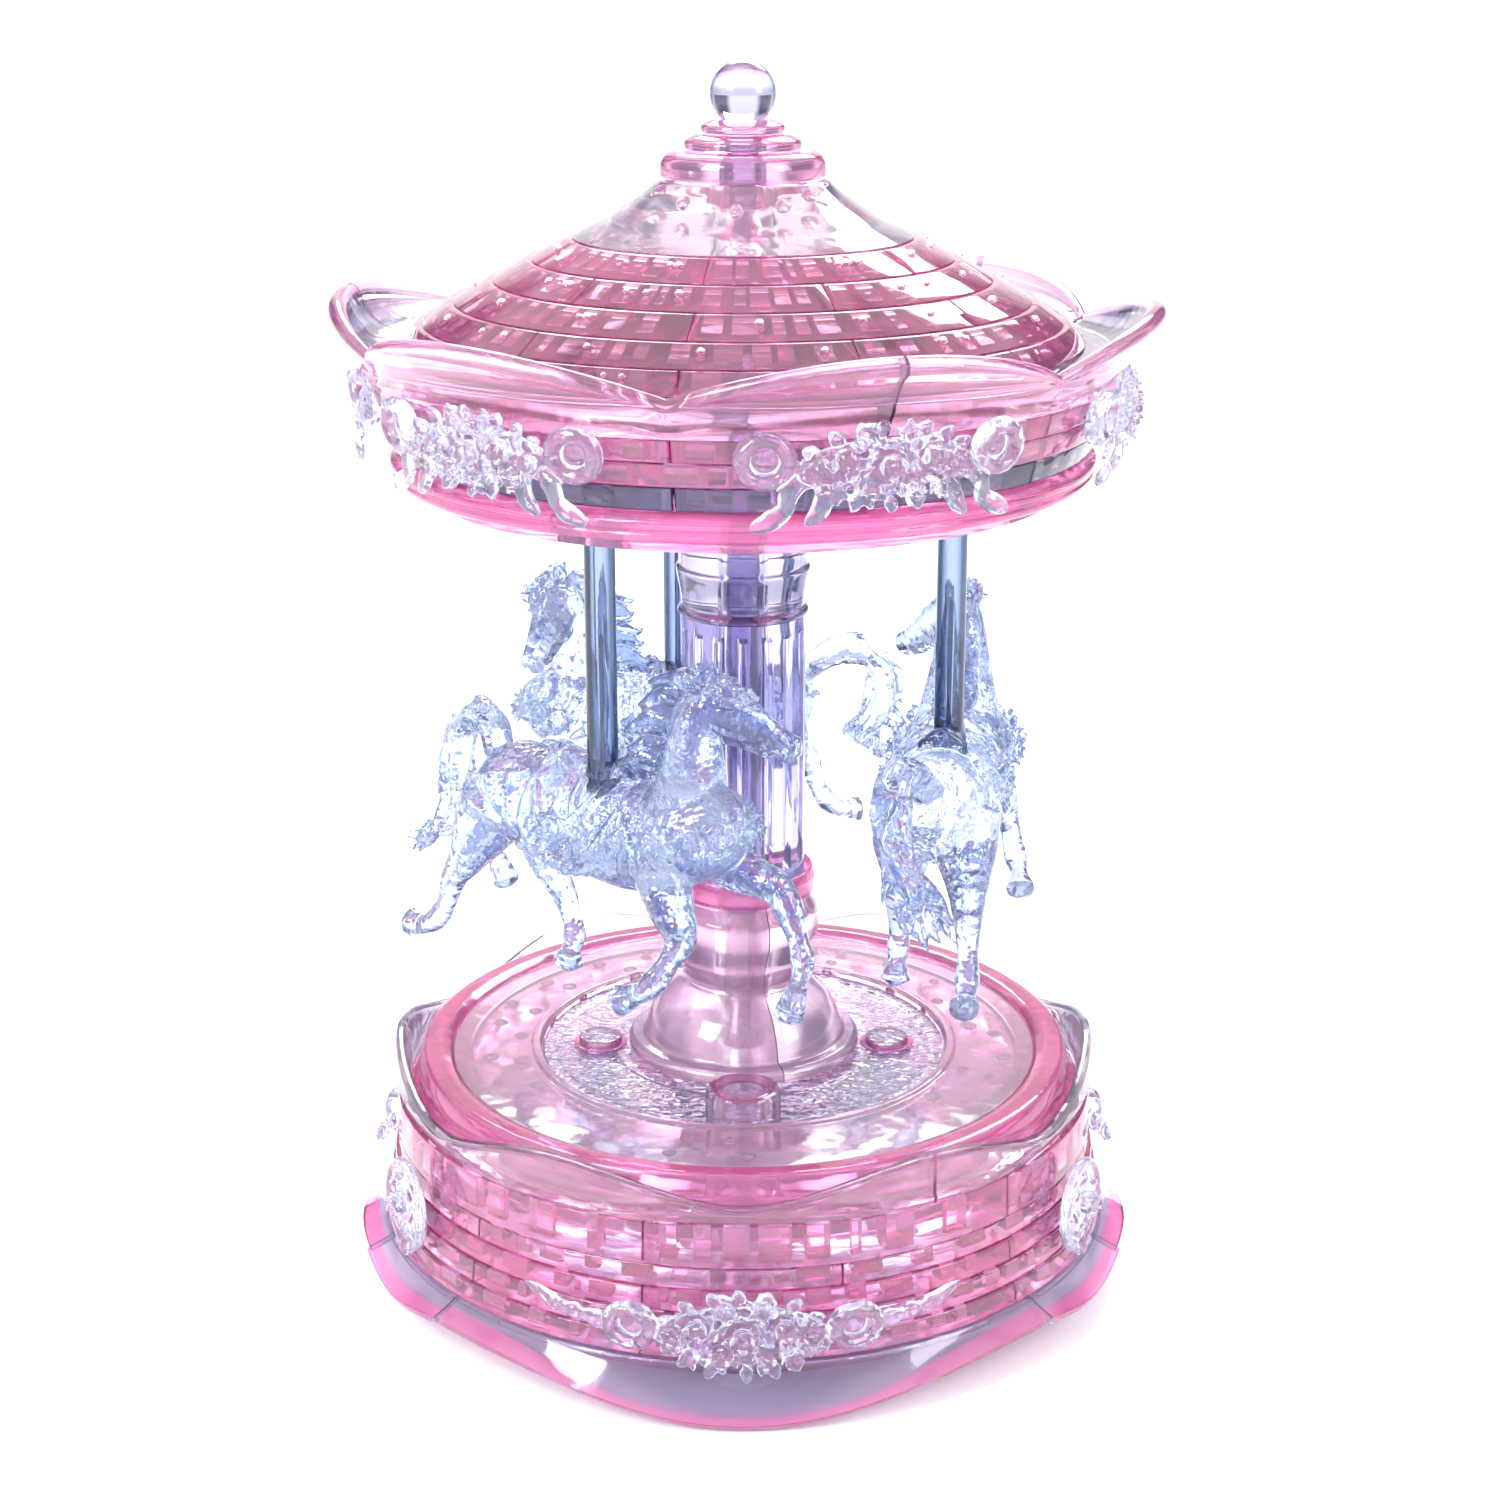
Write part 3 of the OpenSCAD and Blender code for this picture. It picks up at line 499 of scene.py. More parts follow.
def make_skirt():
    steps = 72
    angles = evenly(-LOBE_HALF, LOBE_HALF, steps)
    sections = [skirt_outline(lobe_edge(a), SKIRT_R - 0.4, 1.8, lobe_band(a)) for a in angles]
    for i, middle in enumerate(THIRDS):
        shape = Shape()
        shape.sweep([a + middle for a in angles], sections, marks=SKIRT_MARKS)
        name = f"skirt_lobe_{i + 1}_apron"
        shape.place(name, "base", "clear_skirt", [SKIRT, ROSE], [f"skirt_lobe_{i + 1}"])
    links = Shape()
    half = 60 - LOBE_HALF - 0.3
    steps = 24
    angles = evenly(-half, half, steps)
    sections = [skirt_outline(ARCH_Z - 1 - wave(180 / 14, a, 0), SKIRT_R + 0.1, 1.5, 0.4) for a in angles]
    for middle in THIRDS:
        links.sweep([a + middle + 60 for a in angles], sections, marks=SKIRT_MARKS)
    links.place("skirt_links_apron", "base", "clear_skirt", [SKIRT, ROSE], ["skirt_links"])


def make_drum():
    for i in range(1, 6):
        course(f"drum_layer_{i}", "base", "pink_block" if i % 2 else "hot_pink", ROSE if i == 3 else PINK,
               seed=i, first=i * 30 + 15, deep=7, pocket_count=9)


CROWN_OUT = 58.7  # radius of the crown's outside
CROWN_FACE = 9  # points up its outside


def crown_outline(az):
    """The deck's wall: a rolled lip in six petals, and a rib that waves the other way below it."""
    w = wave(6, az, 30)
    lip, out = 37.2 + 2.9 * w, CROWN_OUT + 0.5 * w
    low = top("drum_layer_5") + 2 * AIR
    rib = 33.4 - 1.1 * w
    face = []
    for k in range(CROWN_FACE):
        z = mix(low, lip - 1.6, k / (CROWN_FACE - 1))
        face.append((out - 0.1 + 0.55 * exp(-((z - rib) / 0.45) ** 2), z))
    lip_tube = [(out - 0.75 + 0.85 * cos(radians(t)), lip - 0.85 + 0.85 * sin(radians(t)))
                for t in (-40, 0, 40, 80, 120, 160, 200)]
    return face + lip_tube + [(out - 1.9, lip - 1.8), (out - 2.3, mix(low, lip, 0.4)), (out - 2.4, low)]


def make_segment(node, suffix, body, a0, a1, steps, outline, materials, first_marks):
    """A third of a ring whose outline changes with the azimuth. The outline's first sides and its other
    sides have a material each."""
    angles = evenly(a0, a1, steps)
    sections = [outline(a) for a in angles]
    marks = first_marks + [1 - first_marks[0]] * (len(sections[0]) - len(first_marks))
    shape = Shape()
    shape.sweep(angles, sections, marks=marks)
    name = node + suffix
    shape.place(name, body, "pink_block", materials, [node])


def make_crown():
    gap = 0.3
    for i, turn in enumerate(THIRDS):
        # The outside face is blush pink; the lip and the inside take the slate-edged pink, a painted dark
        # reflection.
        make_segment(f"crown_segment_{i + 1}", "_wall", "base", turn - 90 + gap, turn + 30 - gap, 84,
                     crown_outline, [BLUSH, PAINTED_SLATE_PINK], [0] * CROWN_FACE)


def bubbles(shape, count, seed, r0, r1, z, size, tall=1.0):
    """Small hollow studs moulded inside a solid piece, spread round the axis."""
    rng = Random(seed)
    for i in range(count):
        az = (i + rng.uniform(-0.3, 0.3)) * 360 / count
        s = size * rng.uniform(0.7, 1.1)
        shape.blob(pol(rng.uniform(r0, r1), az, z), (s, s, size * tall), hollow=True)


DISC_R = 34.2  # the disc's edge, and the hole in the plate
DISC_TOP = top("deck_disc") - 0.3
DECK_TOP = top("deck_plate") - 0.35
BUTTON_R = 6.1
BUTTON_RING = 28  # its distance from the axis
POST_R = 3.65
POST_RING = 24.5
POST_AZ = (-90, 90)
AXIS = 0.01  # radius of a lathe outline that nearly meets its axis


def make_deck():
    rim = Shape()
    rim.lathe(rounded([(46.5, 31.6), (55.6, 31.6), (55.3, 35.6), (54.6, 37.6), (53.8, 37.9), (51.4, 37.9),
                       (49.7, 37.0), (49.7, 35.4), (46.5, 35.4)], 0.5))
    rim.place("deck_rim_ring", "base", "hot_pink", [ROSE], ["deck_rim"])
    plate = Shape()
    low = bottom("deck_plate")
    plate.lathe(rounded([(DISC_R + 0.15, low), (46.1, low), (46.1, 35.6), (49.5, 35.6), (49.5, DECK_TOP),
                         (DISC_R + 2.2, DECK_TOP), (DISC_R + 1.6, DECK_TOP + 0.35),
                         (DISC_R + 0.6, DECK_TOP + 0.35), (DISC_R + 0.15, DECK_TOP - 0.2)], 0.3))
    bubbles(plate, 19, 4, 38, 40, DECK_TOP - 1.9, 1.5, 0.75)
    bubbles(plate, 26, 5, 43, 45, DECK_TOP - 1.7, 1.3, 0.75)
    plate.place("deck_plate_ring", "base", "pink_block", [DECK], ["deck_plate"])
    disc = Shape()
    disc.lathe(rounded([(8, DISC_TOP - 1.45), (DISC_R - 0.05, DISC_TOP - 1.45), (DISC_R - 0.05, DISC_TOP),
                        (DISC_R - 2, DISC_TOP), (DISC_R - 2.6, DISC_TOP - 0.25), (22.4, DISC_TOP - 0.25),
                        (21.8, DISC_TOP), (8, DISC_TOP)], 0.2))
    disc.place("deck_disc_plate", "base", "clear_crystal", [FLORAL], ["deck_disc"])


def make_button():
    """The stop button: a hollow cap with a dished top inside a pink ring."""
    low, high = bottom("stop_button"), top("stop_button") - AIR
    cap = Shape()
    cap.lathe([(AXIS, low), (BUTTON_R, low), (BUTTON_R, high - 0.9), (5.7, high - 0.15), (5.2, high),
               (4.7, high - 0.15), (4.2, high - 0.7), (3.6, high - 0.45), (AXIS, high - 0.35)], 96,
              marks=[0, 0, 0, 1, 1, 1, 1, 0, 0])
    cap.lathe(rounded([(AXIS, low + 0.8), (4.2, low + 0.8), (3.4, high - 1.6), (AXIS, high - 1.6)], 0.3),
              64, hollow=True)
    button = Shape()
    button.add(cap, pol(BUTTON_RING, 0, 0))
    button.place("stop_button_cap", "button", "hot_pink", [BLUSH, ROSE], ["stop_button"])


def make_posts():
    """The two round pegs on the disc, hollow, each in a flat pink ring."""
    low, high = bottom("deck_posts"), top("deck_posts") - AIR
    post = Shape()
    post.lathe(rounded([(AXIS, low), (POST_R, low), (POST_R, high), (AXIS, high)], 0.4), 48)
    post.lathe(rounded([(AXIS, low + 1), (2.6, low + 1), (2.3, high - 1.2), (AXIS, high - 1.2)], 0.3), 48,
               hollow=True)
    ring = Shape()
    foot, head = DISC_TOP + 0.03, DISC_TOP + 0.3
    ring.lathe(rounded([(1.9, foot), (4.6, foot), (4.6, head), (1.9, head)], 0.1), 48)
    posts, rings = Shape(), Shape()
    for az in POST_AZ:
        posts.add(post, pol(POST_RING, az, 0))
        rings.add(ring, pol(POST_RING, az, 0))
    posts.place("deck_post_pair", "base", "clear_pink", [FLORAL], ["deck_posts"])
    rings.place("deck_disc_bosses", "base", "hot_pink", [ROSE], ["deck_disc"])


# -------------------- column

FOOT_TOP, SHAFT_TOP = 67.4, 112.6
SHAFT_R = 10.2
FLUTES = 16
FLUTE_DEEP = 1.1
HALF_GAP = 0.35  # half the joint between the column's two halves, in degrees


def make_halves(name, node, slot, material, outline, steps=72):
    """Two halves of a turned piece, with an outline for each azimuth."""
    shape = Shape()
    for start in (TURN, TURN + 180):
        a0 = start + HALF_GAP
        angles = evenly(a0, a0 + 180 - 2 * HALF_GAP, steps)
        shape.sweep(angles, [outline(a) for a in angles])
    shape.place(name, "carousel", slot, [material], [node])


def shaft_outline(az):
    """The shaft's section: plain at both ends and fluted between."""
    cut = FLUTE_DEEP * max(0.0, wave(1, az * FLUTES % 360, 0)) ** 0.7
    z0, z1 = FOOT_TOP + AIR, SHAFT_TOP - AIR
    return [(2.7, z0), (SHAFT_R, z0), (SHAFT_R, z0 + 3), (SHAFT_R - cut, z0 + 4), (SHAFT_R - cut, z1 - 3),
            (SHAFT_R, z1 - 2), (SHAFT_R, z1), (2.7, z1)]


def make_column():
    foot = [(3.1, 36.85), (19.6, 36.85), (19.6, 38.3), (18.9, 39), (16.7, 39.2), (16.5, 41), (15.7, 43.2),
            (14.2, 45.6), (12, 47.6), (10.4, 48.8), (9.8, 50.2), (10.2, 51.4), (10.4, 53), (11.4, 55.2),
            (12.5, 57.4), (12.8, 59.4), (12.6, 61.6), (11.6, 63.2), (10.8, 64.4), (10.8, FOOT_TOP - AIR),
            (3.1, FOOT_TOP - AIR)]
    bell = rounded(foot, 0.8)
    make_halves("column_foot_halves", "column_foot", "pink_block", FOOT, lambda az: bell)
    make_halves("column_shaft_halves", "column_shaft", "clear_pink", LILAC, shaft_outline, 192)
    collar = Shape()
    collar.lathe(rounded([(11.0, 64.7), (11.7, 64.7), (12.1, 65.4), (12.1, 67.6), (11.5, 69), (11.0, 69)],
                         0.3))
    collar.place("collar_band", "carousel", "hot_pink", [ROSE], ["collar_ring"])
    capital = Shape()
    cap_top = bottom("canopy_plate") - AIR
    capital.lathe(rounded([(2.7, SHAFT_TOP), (10.4, SHAFT_TOP), (10.8, 113.1), (10.5, 113.8), (10, 114),
                           (10.2, 116), (10.9, 119.6), (11, 120.4), (10.5, 120.9), (10.5, 124.6),
                           (10.9, 125), (10.9, cap_top), (2.7, cap_top)], 0.35))
    capital.place("column_capital_turned", "carousel", "pink_block", [LILAC], ["column_capital"])


# -------------------- canopy

RIM_IN, RIM_R = 51.3, 56.3
ROOF_FOOT = 157.2  # where the roof's first course shows above the eave
CAP_TIERS = ((12.9, 182.2, 186.4), (9.1, 186.5, 188.9), (6.5, 189, 191.1))  # radius, foot and top


def make_canopy():
    low, high = bottom("rim_ring"), top("rim_ring") - AIR
    rim = Shape()
    rim.lathe(rounded([(RIM_IN, low), (54.4, low), (55.6, low + 0.4), (56.1, low + 1.3), (55.7, low + 1.9),
                       (RIM_R, low + 2.5), (RIM_R, low + 3.4), (RIM_R - 0.8, low + 4.2),
                       (RIM_R - 1.8, high), (RIM_IN, high)], 0.4))
    rim.place("rim_ring_moulding", "carousel", "hot_pink", [ROSE], ["rim_ring"])
    for i in (1, 2, 3):
        course(f"frieze_layer_{i}", "carousel", "hot_pink" if i == 2 else "pink_block",
               LILAC if i == 1 else PINK, seed=20 + i, first=TURN + i * 30, deep=9, pocket_count=11)
    for i in range(1, 6):
        course(f"roof_layer_{i}", "carousel", "pink_block" if i % 2 else "hot_pink", PINK, seed=40 + i,
               first=TURN + i * 30, deep=8, pocket_count=13, studs=3, z0=ROOF_FOOT if i == 1 else None)


def make_roof_top():
    """The clear peak, with studs moulded into it, and the three tiers that cap it."""
    peak = Shape()
    z0, z1 = bottom("roof_peak") + AIR, top("roof_peak") - AIR
    peak.lathe(rounded([(4, z0), (27, z0), (22, 175.6), (17.6, 178.4), (14.6, 180.6), (13, z1), (4, z1)],
                       0.5))
    bubbles(peak, 9, 7, 9, 15, mix(z0, z1, 0.4), 1.4, 1.2)
    peak.place("roof_peak_cone", "carousel", "clear_crystal", [BLUSH], ["roof_peak"])
    caps = Shape()
    for r, foot, head in CAP_TIERS:
        z0, z1 = foot + AIR, head - AIR
        side = rounded([(0.2, z0), (r, z0), (r, mix(foot, head, 0.55)), (r - 0.7, head - 0.6),
                        (r - 1.9, z1), (0.2, z1)], 0.5)
        caps.lathe([(0, z0)] + side[2:-2] + [(0, z1)])
    caps.place("cap_tier_discs", "carousel", "pink_block", [PINK], ["cap_tiers"])


PETAL_R = 66.2  # radius of a petal's tip
EAVE_FOOT_IN, EAVE_FOOT = 53, 59.0
BOWL_Z = 157  # height of the bowl's floor
BOWL_STEPS = 8
OUTSIDE_STEPS = 12


def eave_outline(az):
    """A petal of the eave: inner bowl, thick rolled lip and a flared outside with a faint rib."""
    w = 2 * abs(wave(3, az, TURN)) ** 0.9 - 1
    lip_z, lip_r = 161.0 + 3.2 * w, PETAL_R - 2.9 + 2.9 * w
    roll = 1.25 + 0.4 * w
    rib = 154.4 + 1.4 * w
    z0 = top("frieze_layer_3") + AIR
    inner = []
    for k in range(BOWL_STEPS + 1):
        t = k / BOWL_STEPS
        inner.append((mix(55.4, lip_r - 2 * roll, t ** 0.7), mix(BOWL_Z, lip_z - roll * 0.9, t ** 2.2)))
    tube = [(lip_r - roll - roll * cos(radians(t)), lip_z - roll + roll * sin(radians(t)))
            for t in range(20, 221, 25)]
    outer = []
    for k in range(1, OUTSIDE_STEPS + 1):
        t = k / OUTSIDE_STEPS
        z = mix(lip_z - 1.7 * roll, z0, t)
        r = mix(lip_r - roll * 0.5, EAVE_FOOT, t ** 0.75)
        outer.append((r + 0.35 * exp(-((z - rib) / 0.5) ** 2), z))
    return [(EAVE_FOOT_IN, z0), (EAVE_FOOT_IN, BOWL_Z)] + inner + tube + outer


def make_eave():
    gap = 0.25
    for i, turn in enumerate(THIRDS):
        # The foot and the bowl take the slate-edged pink, a painted dark reflection inside the bowl; the lip
        # and the outside are pink.
        make_segment(f"eave_segment_{i + 1}", "_petals", "carousel", TURN + turn + gap,
                     TURN + turn + 120 - gap, 96, eave_outline, [PINK, PAINTED_SLATE_PINK], [1] * (BOWL_STEPS + 3))


def standing(az, r, z=0.0):
    """Where a piece made at the origin, facing -Y, stands at azimuth az and radius r."""
    return Matrix.Translation(pol(r, az, z) * MM) @ Matrix.Rotation(radians(az), 4, "Z")


HORSE_AZ = [TURN + 60 + third for third in THIRDS]
POLE_RING = 34.0  # distance of the poles from the axis
POLE_R = 2.43


def make_poles():
    """Three rods, each with a long thin bubble in its foot."""
    z0, z1 = bottom("pole_1"), top("pole_1")
    rod = Shape()
    rod.lathe([(0, z0), (POLE_R - 0.3, z0), (POLE_R, z0 + 0.4), (POLE_R, z1 - 0.4), (POLE_R - 0.3, z1),
               (0, z1)], 48)
    rod.lathe([(0, z0 + 2), (0.35, z0 + 2.6), (0.4, z0 + 24), (0.25, z0 + 26), (0, z0 + 27)], 24,
              hollow=True)
    me = rod.mesh("horse_pole")
    for i, az in enumerate(HORSE_AZ):
        place(f"horse_pole_{i + 1}", me, "carousel", "clear_crystal", [POLE], [f"pole_{i + 1}"],
              standing(az, POLE_RING))


# -------------------- roses, leaves and garlands

def rose(shape, centre, face, size, rng):
    """A rose head facing along face: a bud in two rings of cupped petals."""
    face = Vector(face).normalized()
    aim = Vector((0, 0, 1)).rotation_difference(face)
    shape.blob(centre + face * size * 0.35, (size * 0.34, size * 0.34, size * 0.42), aim)
    for ring, (count, reach, lean, long) in enumerate(((4, 0.4, 20, 0.5), (6, 0.8, 50, 0.55))):
        for k in range(count):
            a = 2 * pi * (k + 0.5 * ring + rng.uniform(-0.1, 0.1)) / count
            out = aim @ Vector((cos(a), sin(a), 0))
            tilt = aim @ Matrix.Rotation(a, 4, "Z").to_quaternion() @ \
                Matrix.Rotation(radians(lean), 4, "Y").to_quaternion()
            at = centre + out * size * reach + face * size * (0.4 - 0.3 * ring)
            shape.blob(at, (size * 0.12, size * 0.36, size * long), tilt)


def leaf(shape, base, tip, width):
    """A pointed leaf from base to tip."""
    base, tip = Vector(base), Vector(tip)
    span = tip - base
    points = [(*(base + span * t), width * s) for t, s in ((0, 0.35), (0.35, 1.0), (0.7, 0.7), (1, 0.05))]
    shape.tube(points, sides=8, flat=0.45, up=OUT, per=3)


def bow_loop(shape, x, y, z):
    """One loop of a bow lying in the XZ plane."""
    r, squeeze, thick, steps = 3.3, 0.95, 1.25, 12
    points = []
    for k in range(steps + 1):
        a = 2 * pi * k / steps
        points.append((x + r * cos(a), y - 0.5 * sin(a), z + r * squeeze * sin(a), thick))
    shape.tube(points, sides=8, flat=1.3, up=OUT, per=2)


def garland_mesh(name, radius, roof):
    """A swag bent round a cylinder: roses in the middle, a bow loop at each side, and ribbons that hang from
    a roof garland's bows or trail sideways from a base garland's. Made flat in X and Z with -Y outwards, then
    wrapped to the radius."""
    rng = Random(11 if roof else 12)
    shape = Shape()
    half, tall = (13.5, 5.6) if roof else (13.0, 6.6)
    shape.blob(Vector((0, 0.5, 0)), (half, 0.9, tall * 0.7), detail=3)
    flowers = [(0, 0, 3.4), (-6.4, 1.2, 3.0), (6.2, 1.0, 3.1), (-3.2, -2.9, 2.5), (3.2, -3.0, 2.5),
               (-10.6, -0.4, 2.5), (10.4, -0.6, 2.5), (-2.6, 3.9, 2.2), (3.0, 4.0, 2.2), (-7.8, -3.0, 2.0),
               (7.6, -3.0, 2.0)]
    for x, z, size in flowers:
        lean = Vector((x * 0.03 + rng.uniform(-0.2, 0.2), -1, z * 0.06 + rng.uniform(-0.15, 0.15)))
        rose(shape, Vector((x, -1.0, z * tall / 5.6)), lean, size, rng)
    leaves = 16
    for k in range(leaves):
        a = 2 * pi * (k + rng.uniform(-0.25, 0.25)) / leaves
        base = Vector((half * 0.8 * cos(a), -0.3, tall * 0.75 * sin(a)))
        tip = Vector((half * 1.08 * cos(a), -1.4, tall * 1.28 * sin(a)))
        leaf(shape, base, tip, 1.25)
    bow_z = 1.2 if roof else 0.6
    for s in (-1, 1):
        bow_loop(shape, s * (half + 4.2), -0.8, bow_z)
        shape.blob(Vector((s * (half + 4.2), -0.3, bow_z)), (3.2, 0.6, 3.0), detail=3)
        shape.blob(Vector((s * (half + 0.8), -0.9, 0.2)), (1.5, 1.3, 1.6))
        if roof:
            ribbons = [[(-1, -0.8, -1, 1.3), (1, -1.2, -3.6, 1.5), (1.4, -0.7, -5.6, 1.3),
                        (3.4, -1.2, -7.0, 1.6), (6, -0.9, -8.2, 0.9)],
                       [(-4, -0.8, -3, 1.3), (-3.4, -1.2, -5.6, 1.5), (-1.6, -0.8, -7.6, 0.8)]]
        else:
            ribbons = [[(7, -0.7, 0.4, 1.2), (10, -1.0, 1.2, 1.3), (13, -0.7, 1.0, 1.1),
                        (17, -1.0, 2.4, 1.4), (20, -0.7, 3.4, 1.0), (22, -0.8, 4.2, 0.4)]]
        for ribbon in ribbons:
            shape.tube([(s * (half + x), y, z, r) for x, y, z, r in ribbon], sides=10, flat=0.6, up=OUT)
        if not roof:
            for x, z, size in ((9.6, 0.9, 1.9), (13.4, 1.6, 1.5), (16.6, 2.2, 1.7)):
                shape.blob(Vector((s * (half + x), -0.9, z)), (size, 1.1, size * 0.9))

    def wrap(v):
        az = v.x / radius
        r = radius - v.y
        return Vector((r * sin(az), -r * cos(az) + radius, v.z))
    return fused(shape, name, 0.36, smooth=1, bend=wrap)


def medallion_mesh():
    """An oval frame round a plate with one rose and six leaves, and a drop below."""
    medal = Shape()
    rng = Random(5)
    steps = 16
    ring = []
    for k in range(steps + 1):
        a = 2 * pi * k / steps
        ring.append((6.1 * cos(a), -0.8, 7.0 * sin(a), 1.0))
    medal.tube(ring, sides=8, up=OUT, per=3)
    medal.blob(Vector((0, 0.1, 0)), (5.8, 0.7, 6.7), detail=3)
    rose(medal, Vector((0, -0.7, 0.6)), OUT, 3.6, rng)
    for k in range(6):
        a = radians(k * 60 + 20)
        across, up = cos(a), sin(a)
        leaf(medal, (2.4 * across, -0.6, 2.9 * up), (5.2 * across, -1.1, 6.1 * up), 0.9)
    medal.blob(Vector((0, -1.0, -7.6)), (1.6, 1.4, 1.4))
    return fused(medal, "medallion", 0.34, smooth=1)


ROOF_GARLAND_R, ROOF_GARLAND_Z = 59.6, 148.2
BASE_GARLAND_R, BASE_GARLAND_Z = 62.6, 15.5
MEDALLION_R, MEDALLION_Z = 62.3, 21.5


def make_garlands():
    roof = garland_mesh("roof_garland", ROOF_GARLAND_R, True)
    for i in range(6):
        place(f"roof_garland_{i + 1}", roof, "carousel", "clear_crystal", [FLORAL], ["roof_garlands"],
              standing(TURN + i * 60, ROOF_GARLAND_R, ROOF_GARLAND_Z))
    base = garland_mesh("base_garland", BASE_GARLAND_R, False)
    for i, az in enumerate(THIRDS):
        place(f"base_garland_{i + 1}", base, "base", "clear_crystal", [FLORAL], ["base_garlands"],
              standing(az, BASE_GARLAND_R, BASE_GARLAND_Z))
    medal = medallion_mesh()
    for i, az in enumerate(THIRDS):
        place(f"medallion_{i + 1}", medal, "base", "clear_crystal", [FLORAL], ["medallions"],
              standing(az + 60, MEDALLION_R, MEDALLION_Z))


# -------------------- horses

class Horse(Shape):
    """A horse at the origin: +X forwards, -Y away from the column, z from the table."""

    def rod(self, points, sides=12, flat=1.0, up=(0, 0, 1)):
        """A tube along points (forwards, outwards, up, radius)."""
        self.tube([(s, -o, z, r) for s, o, z, r in points], sides, flat, up)


def add_body(h):
    """Trunk, neck, head, ears, eyes and nostrils."""
    h.rod([(-23.5, 0, 86.5, 5.4), (-19, 0, 86.6, 8.2), (-11, 0, 86.2, 7.9), (-2, 0, 84.6, 7.8),
           (7, 0, 84.6, 8.3), (15, 0, 86.6, 8.6), (21.5, 0, 89.2, 7.4), (26, 0, 92, 4.6)], 20)
    h.rod([(16, 0, 89.5, 7.6), (18.2, 0, 95.5, 6.2), (19.0, 0, 101, 5.0), (19.8, -0.3, 105.5, 4.3),
           (21.2, -0.8, 108.4, 3.9)], 16, 0.8, (1, 0, 0))
    h.rod([(20.4, -0.4, 108.8, 3.5), (22.6, -2.2, 107.6, 4.0), (24.8, -5.0, 105.4, 3.4),
           (27.0, -7.6, 103.0, 2.6), (28.6, -9.6, 101.2, 2.2), (29.6, -10.9, 100.2, 2.3)], 14)
    h.rod([(21.6, -2.6, 104.6, 2.6), (24.2, -5.4, 102.8, 2.0), (27.2, -8.8, 100.2, 1.5)], 12)
    for side in (-1, 1):
        h.rod([(20.6, side * 2.2 - 0.5, 110.2, 1.3), (20.2, side * 2.9 - 0.4, 112.4, 1.0),
               (19.8, side * 3.1 - 0.2, 114.2, 0.2)], 8)
        h.blob(Vector((23.9 + side * 1.6, 4.2 - side * 2.2, 106.3)), (0.9, 0.9, 0.9))
        h.blob(Vector((29.6 + side * 0.9, 10.6 - side * 0.7, 100.8)), (0.9, 0.9, 0.8))


def add_legs(h):
    """Both forelegs, then both hind legs."""
    h.rod([(18, -3.6, 84.5, 5.0), (24, -4.8, 81.4, 3.7), (30.5, -5.0, 80.2, 2.7), (33.2, -5.0, 77.4, 2.5),
           (35.2, -5.0, 73, 1.7), (36.3, -5.0, 69.4, 2.0), (35.6, -5.0, 66, 1.45), (34.6, -5.0, 63, 2.0),
           (33.4, -5.0, 59.8, 2.5)])
    h.rod([(16, 4.4, 82.5, 5.0), (19.6, 6.4, 77.6, 3.7), (22.8, 7.8, 73.6, 2.7), (21.4, 9.0, 69.8, 1.8),
           (19.2, 10.2, 66.0, 2.1), (17.0, 11.0, 64.0, 1.6), (13.4, 11.6, 62.2, 2.6)])
    h.rod([(-19, 4.2, 85.5, 6.6), (-22, 5.4, 80, 5.0), (-24.6, 6.0, 75.4, 3.3), (-27.4, 6.4, 71.6, 2.4),
           (-29.2, 6.7, 66.8, 1.7), (-31.4, 6.9, 63.4, 2.0), (-34.4, 7.0, 61.4, 1.6),
           (-37.6, 7.1, 61.2, 2.5)])
    h.rod([(-17, -3.8, 83, 6.0), (-18.8, -4.8, 77.6, 4.2), (-18.2, -5.3, 72.8, 2.9),
           (-15.0, -5.8, 68.6, 2.3), (-13.2, -6.0, 64, 1.7), (-12.8, -6.1, 61.2, 2.0),
           (-13.6, -6.2, 58.6, 1.6), (-14.6, -6.3, 55.8, 2.6)])


def add_mane(h, rng):
    """Locks thrown back from the crest."""
    last = 10
    for k in range(last + 1):
        t = k / last
        crest = Vector((mix(18.6, 11.5, t ** 0.8), 0, mix(112.0, 95.5, t)))
        for side in (-1, 1):
            long = rng.uniform(6.5, 9.0) * (1 - 0.25 * t)
            drop = rng.uniform(0.5, 3.5)
            y = side * rng.uniform(0.6, 1.6)
            h.rod([(crest.x, y, crest.z, 1.5),
                   (crest.x - long * 0.4, y * 1.7, crest.z + 0.4 - drop * 0.2, 1.25),
                   (crest.x - long * 0.8, y * 2.0, crest.z - drop * 0.6, 0.9),
                   (crest.x - long, y * 1.6, crest.z - drop + 0.8, 0.25)],
                  8, 0.8)


def add_bridle(h, rng):
    """Flowers on the forelock, and the bridle's straps."""
    for s, o, z, size in ((23.6, -1.4, 110.8, 2.9), (26.2, -3.6, 109.2, 2.4), (21.6, 1.0, 112.2, 2.6),
                          (25.8, 0.6, 110.2, 2.2)):
        rose(h, Vector((s, -o, z)), (0.5, -o * 0.3 - 0.2, 0.8), size, rng)
    h.rod([(22.5, 1.6, 106.4, 0.5), (25.2, -1.2, 103.8, 0.5), (28.2, -6.8, 102.2, 0.5)], 6)
    h.rod([(26.4, -5.6, 104.9, 0.55), (28.9, -7.6, 103.2, 0.6), (28.4, -9.0, 101.0, 0.5)], 6)


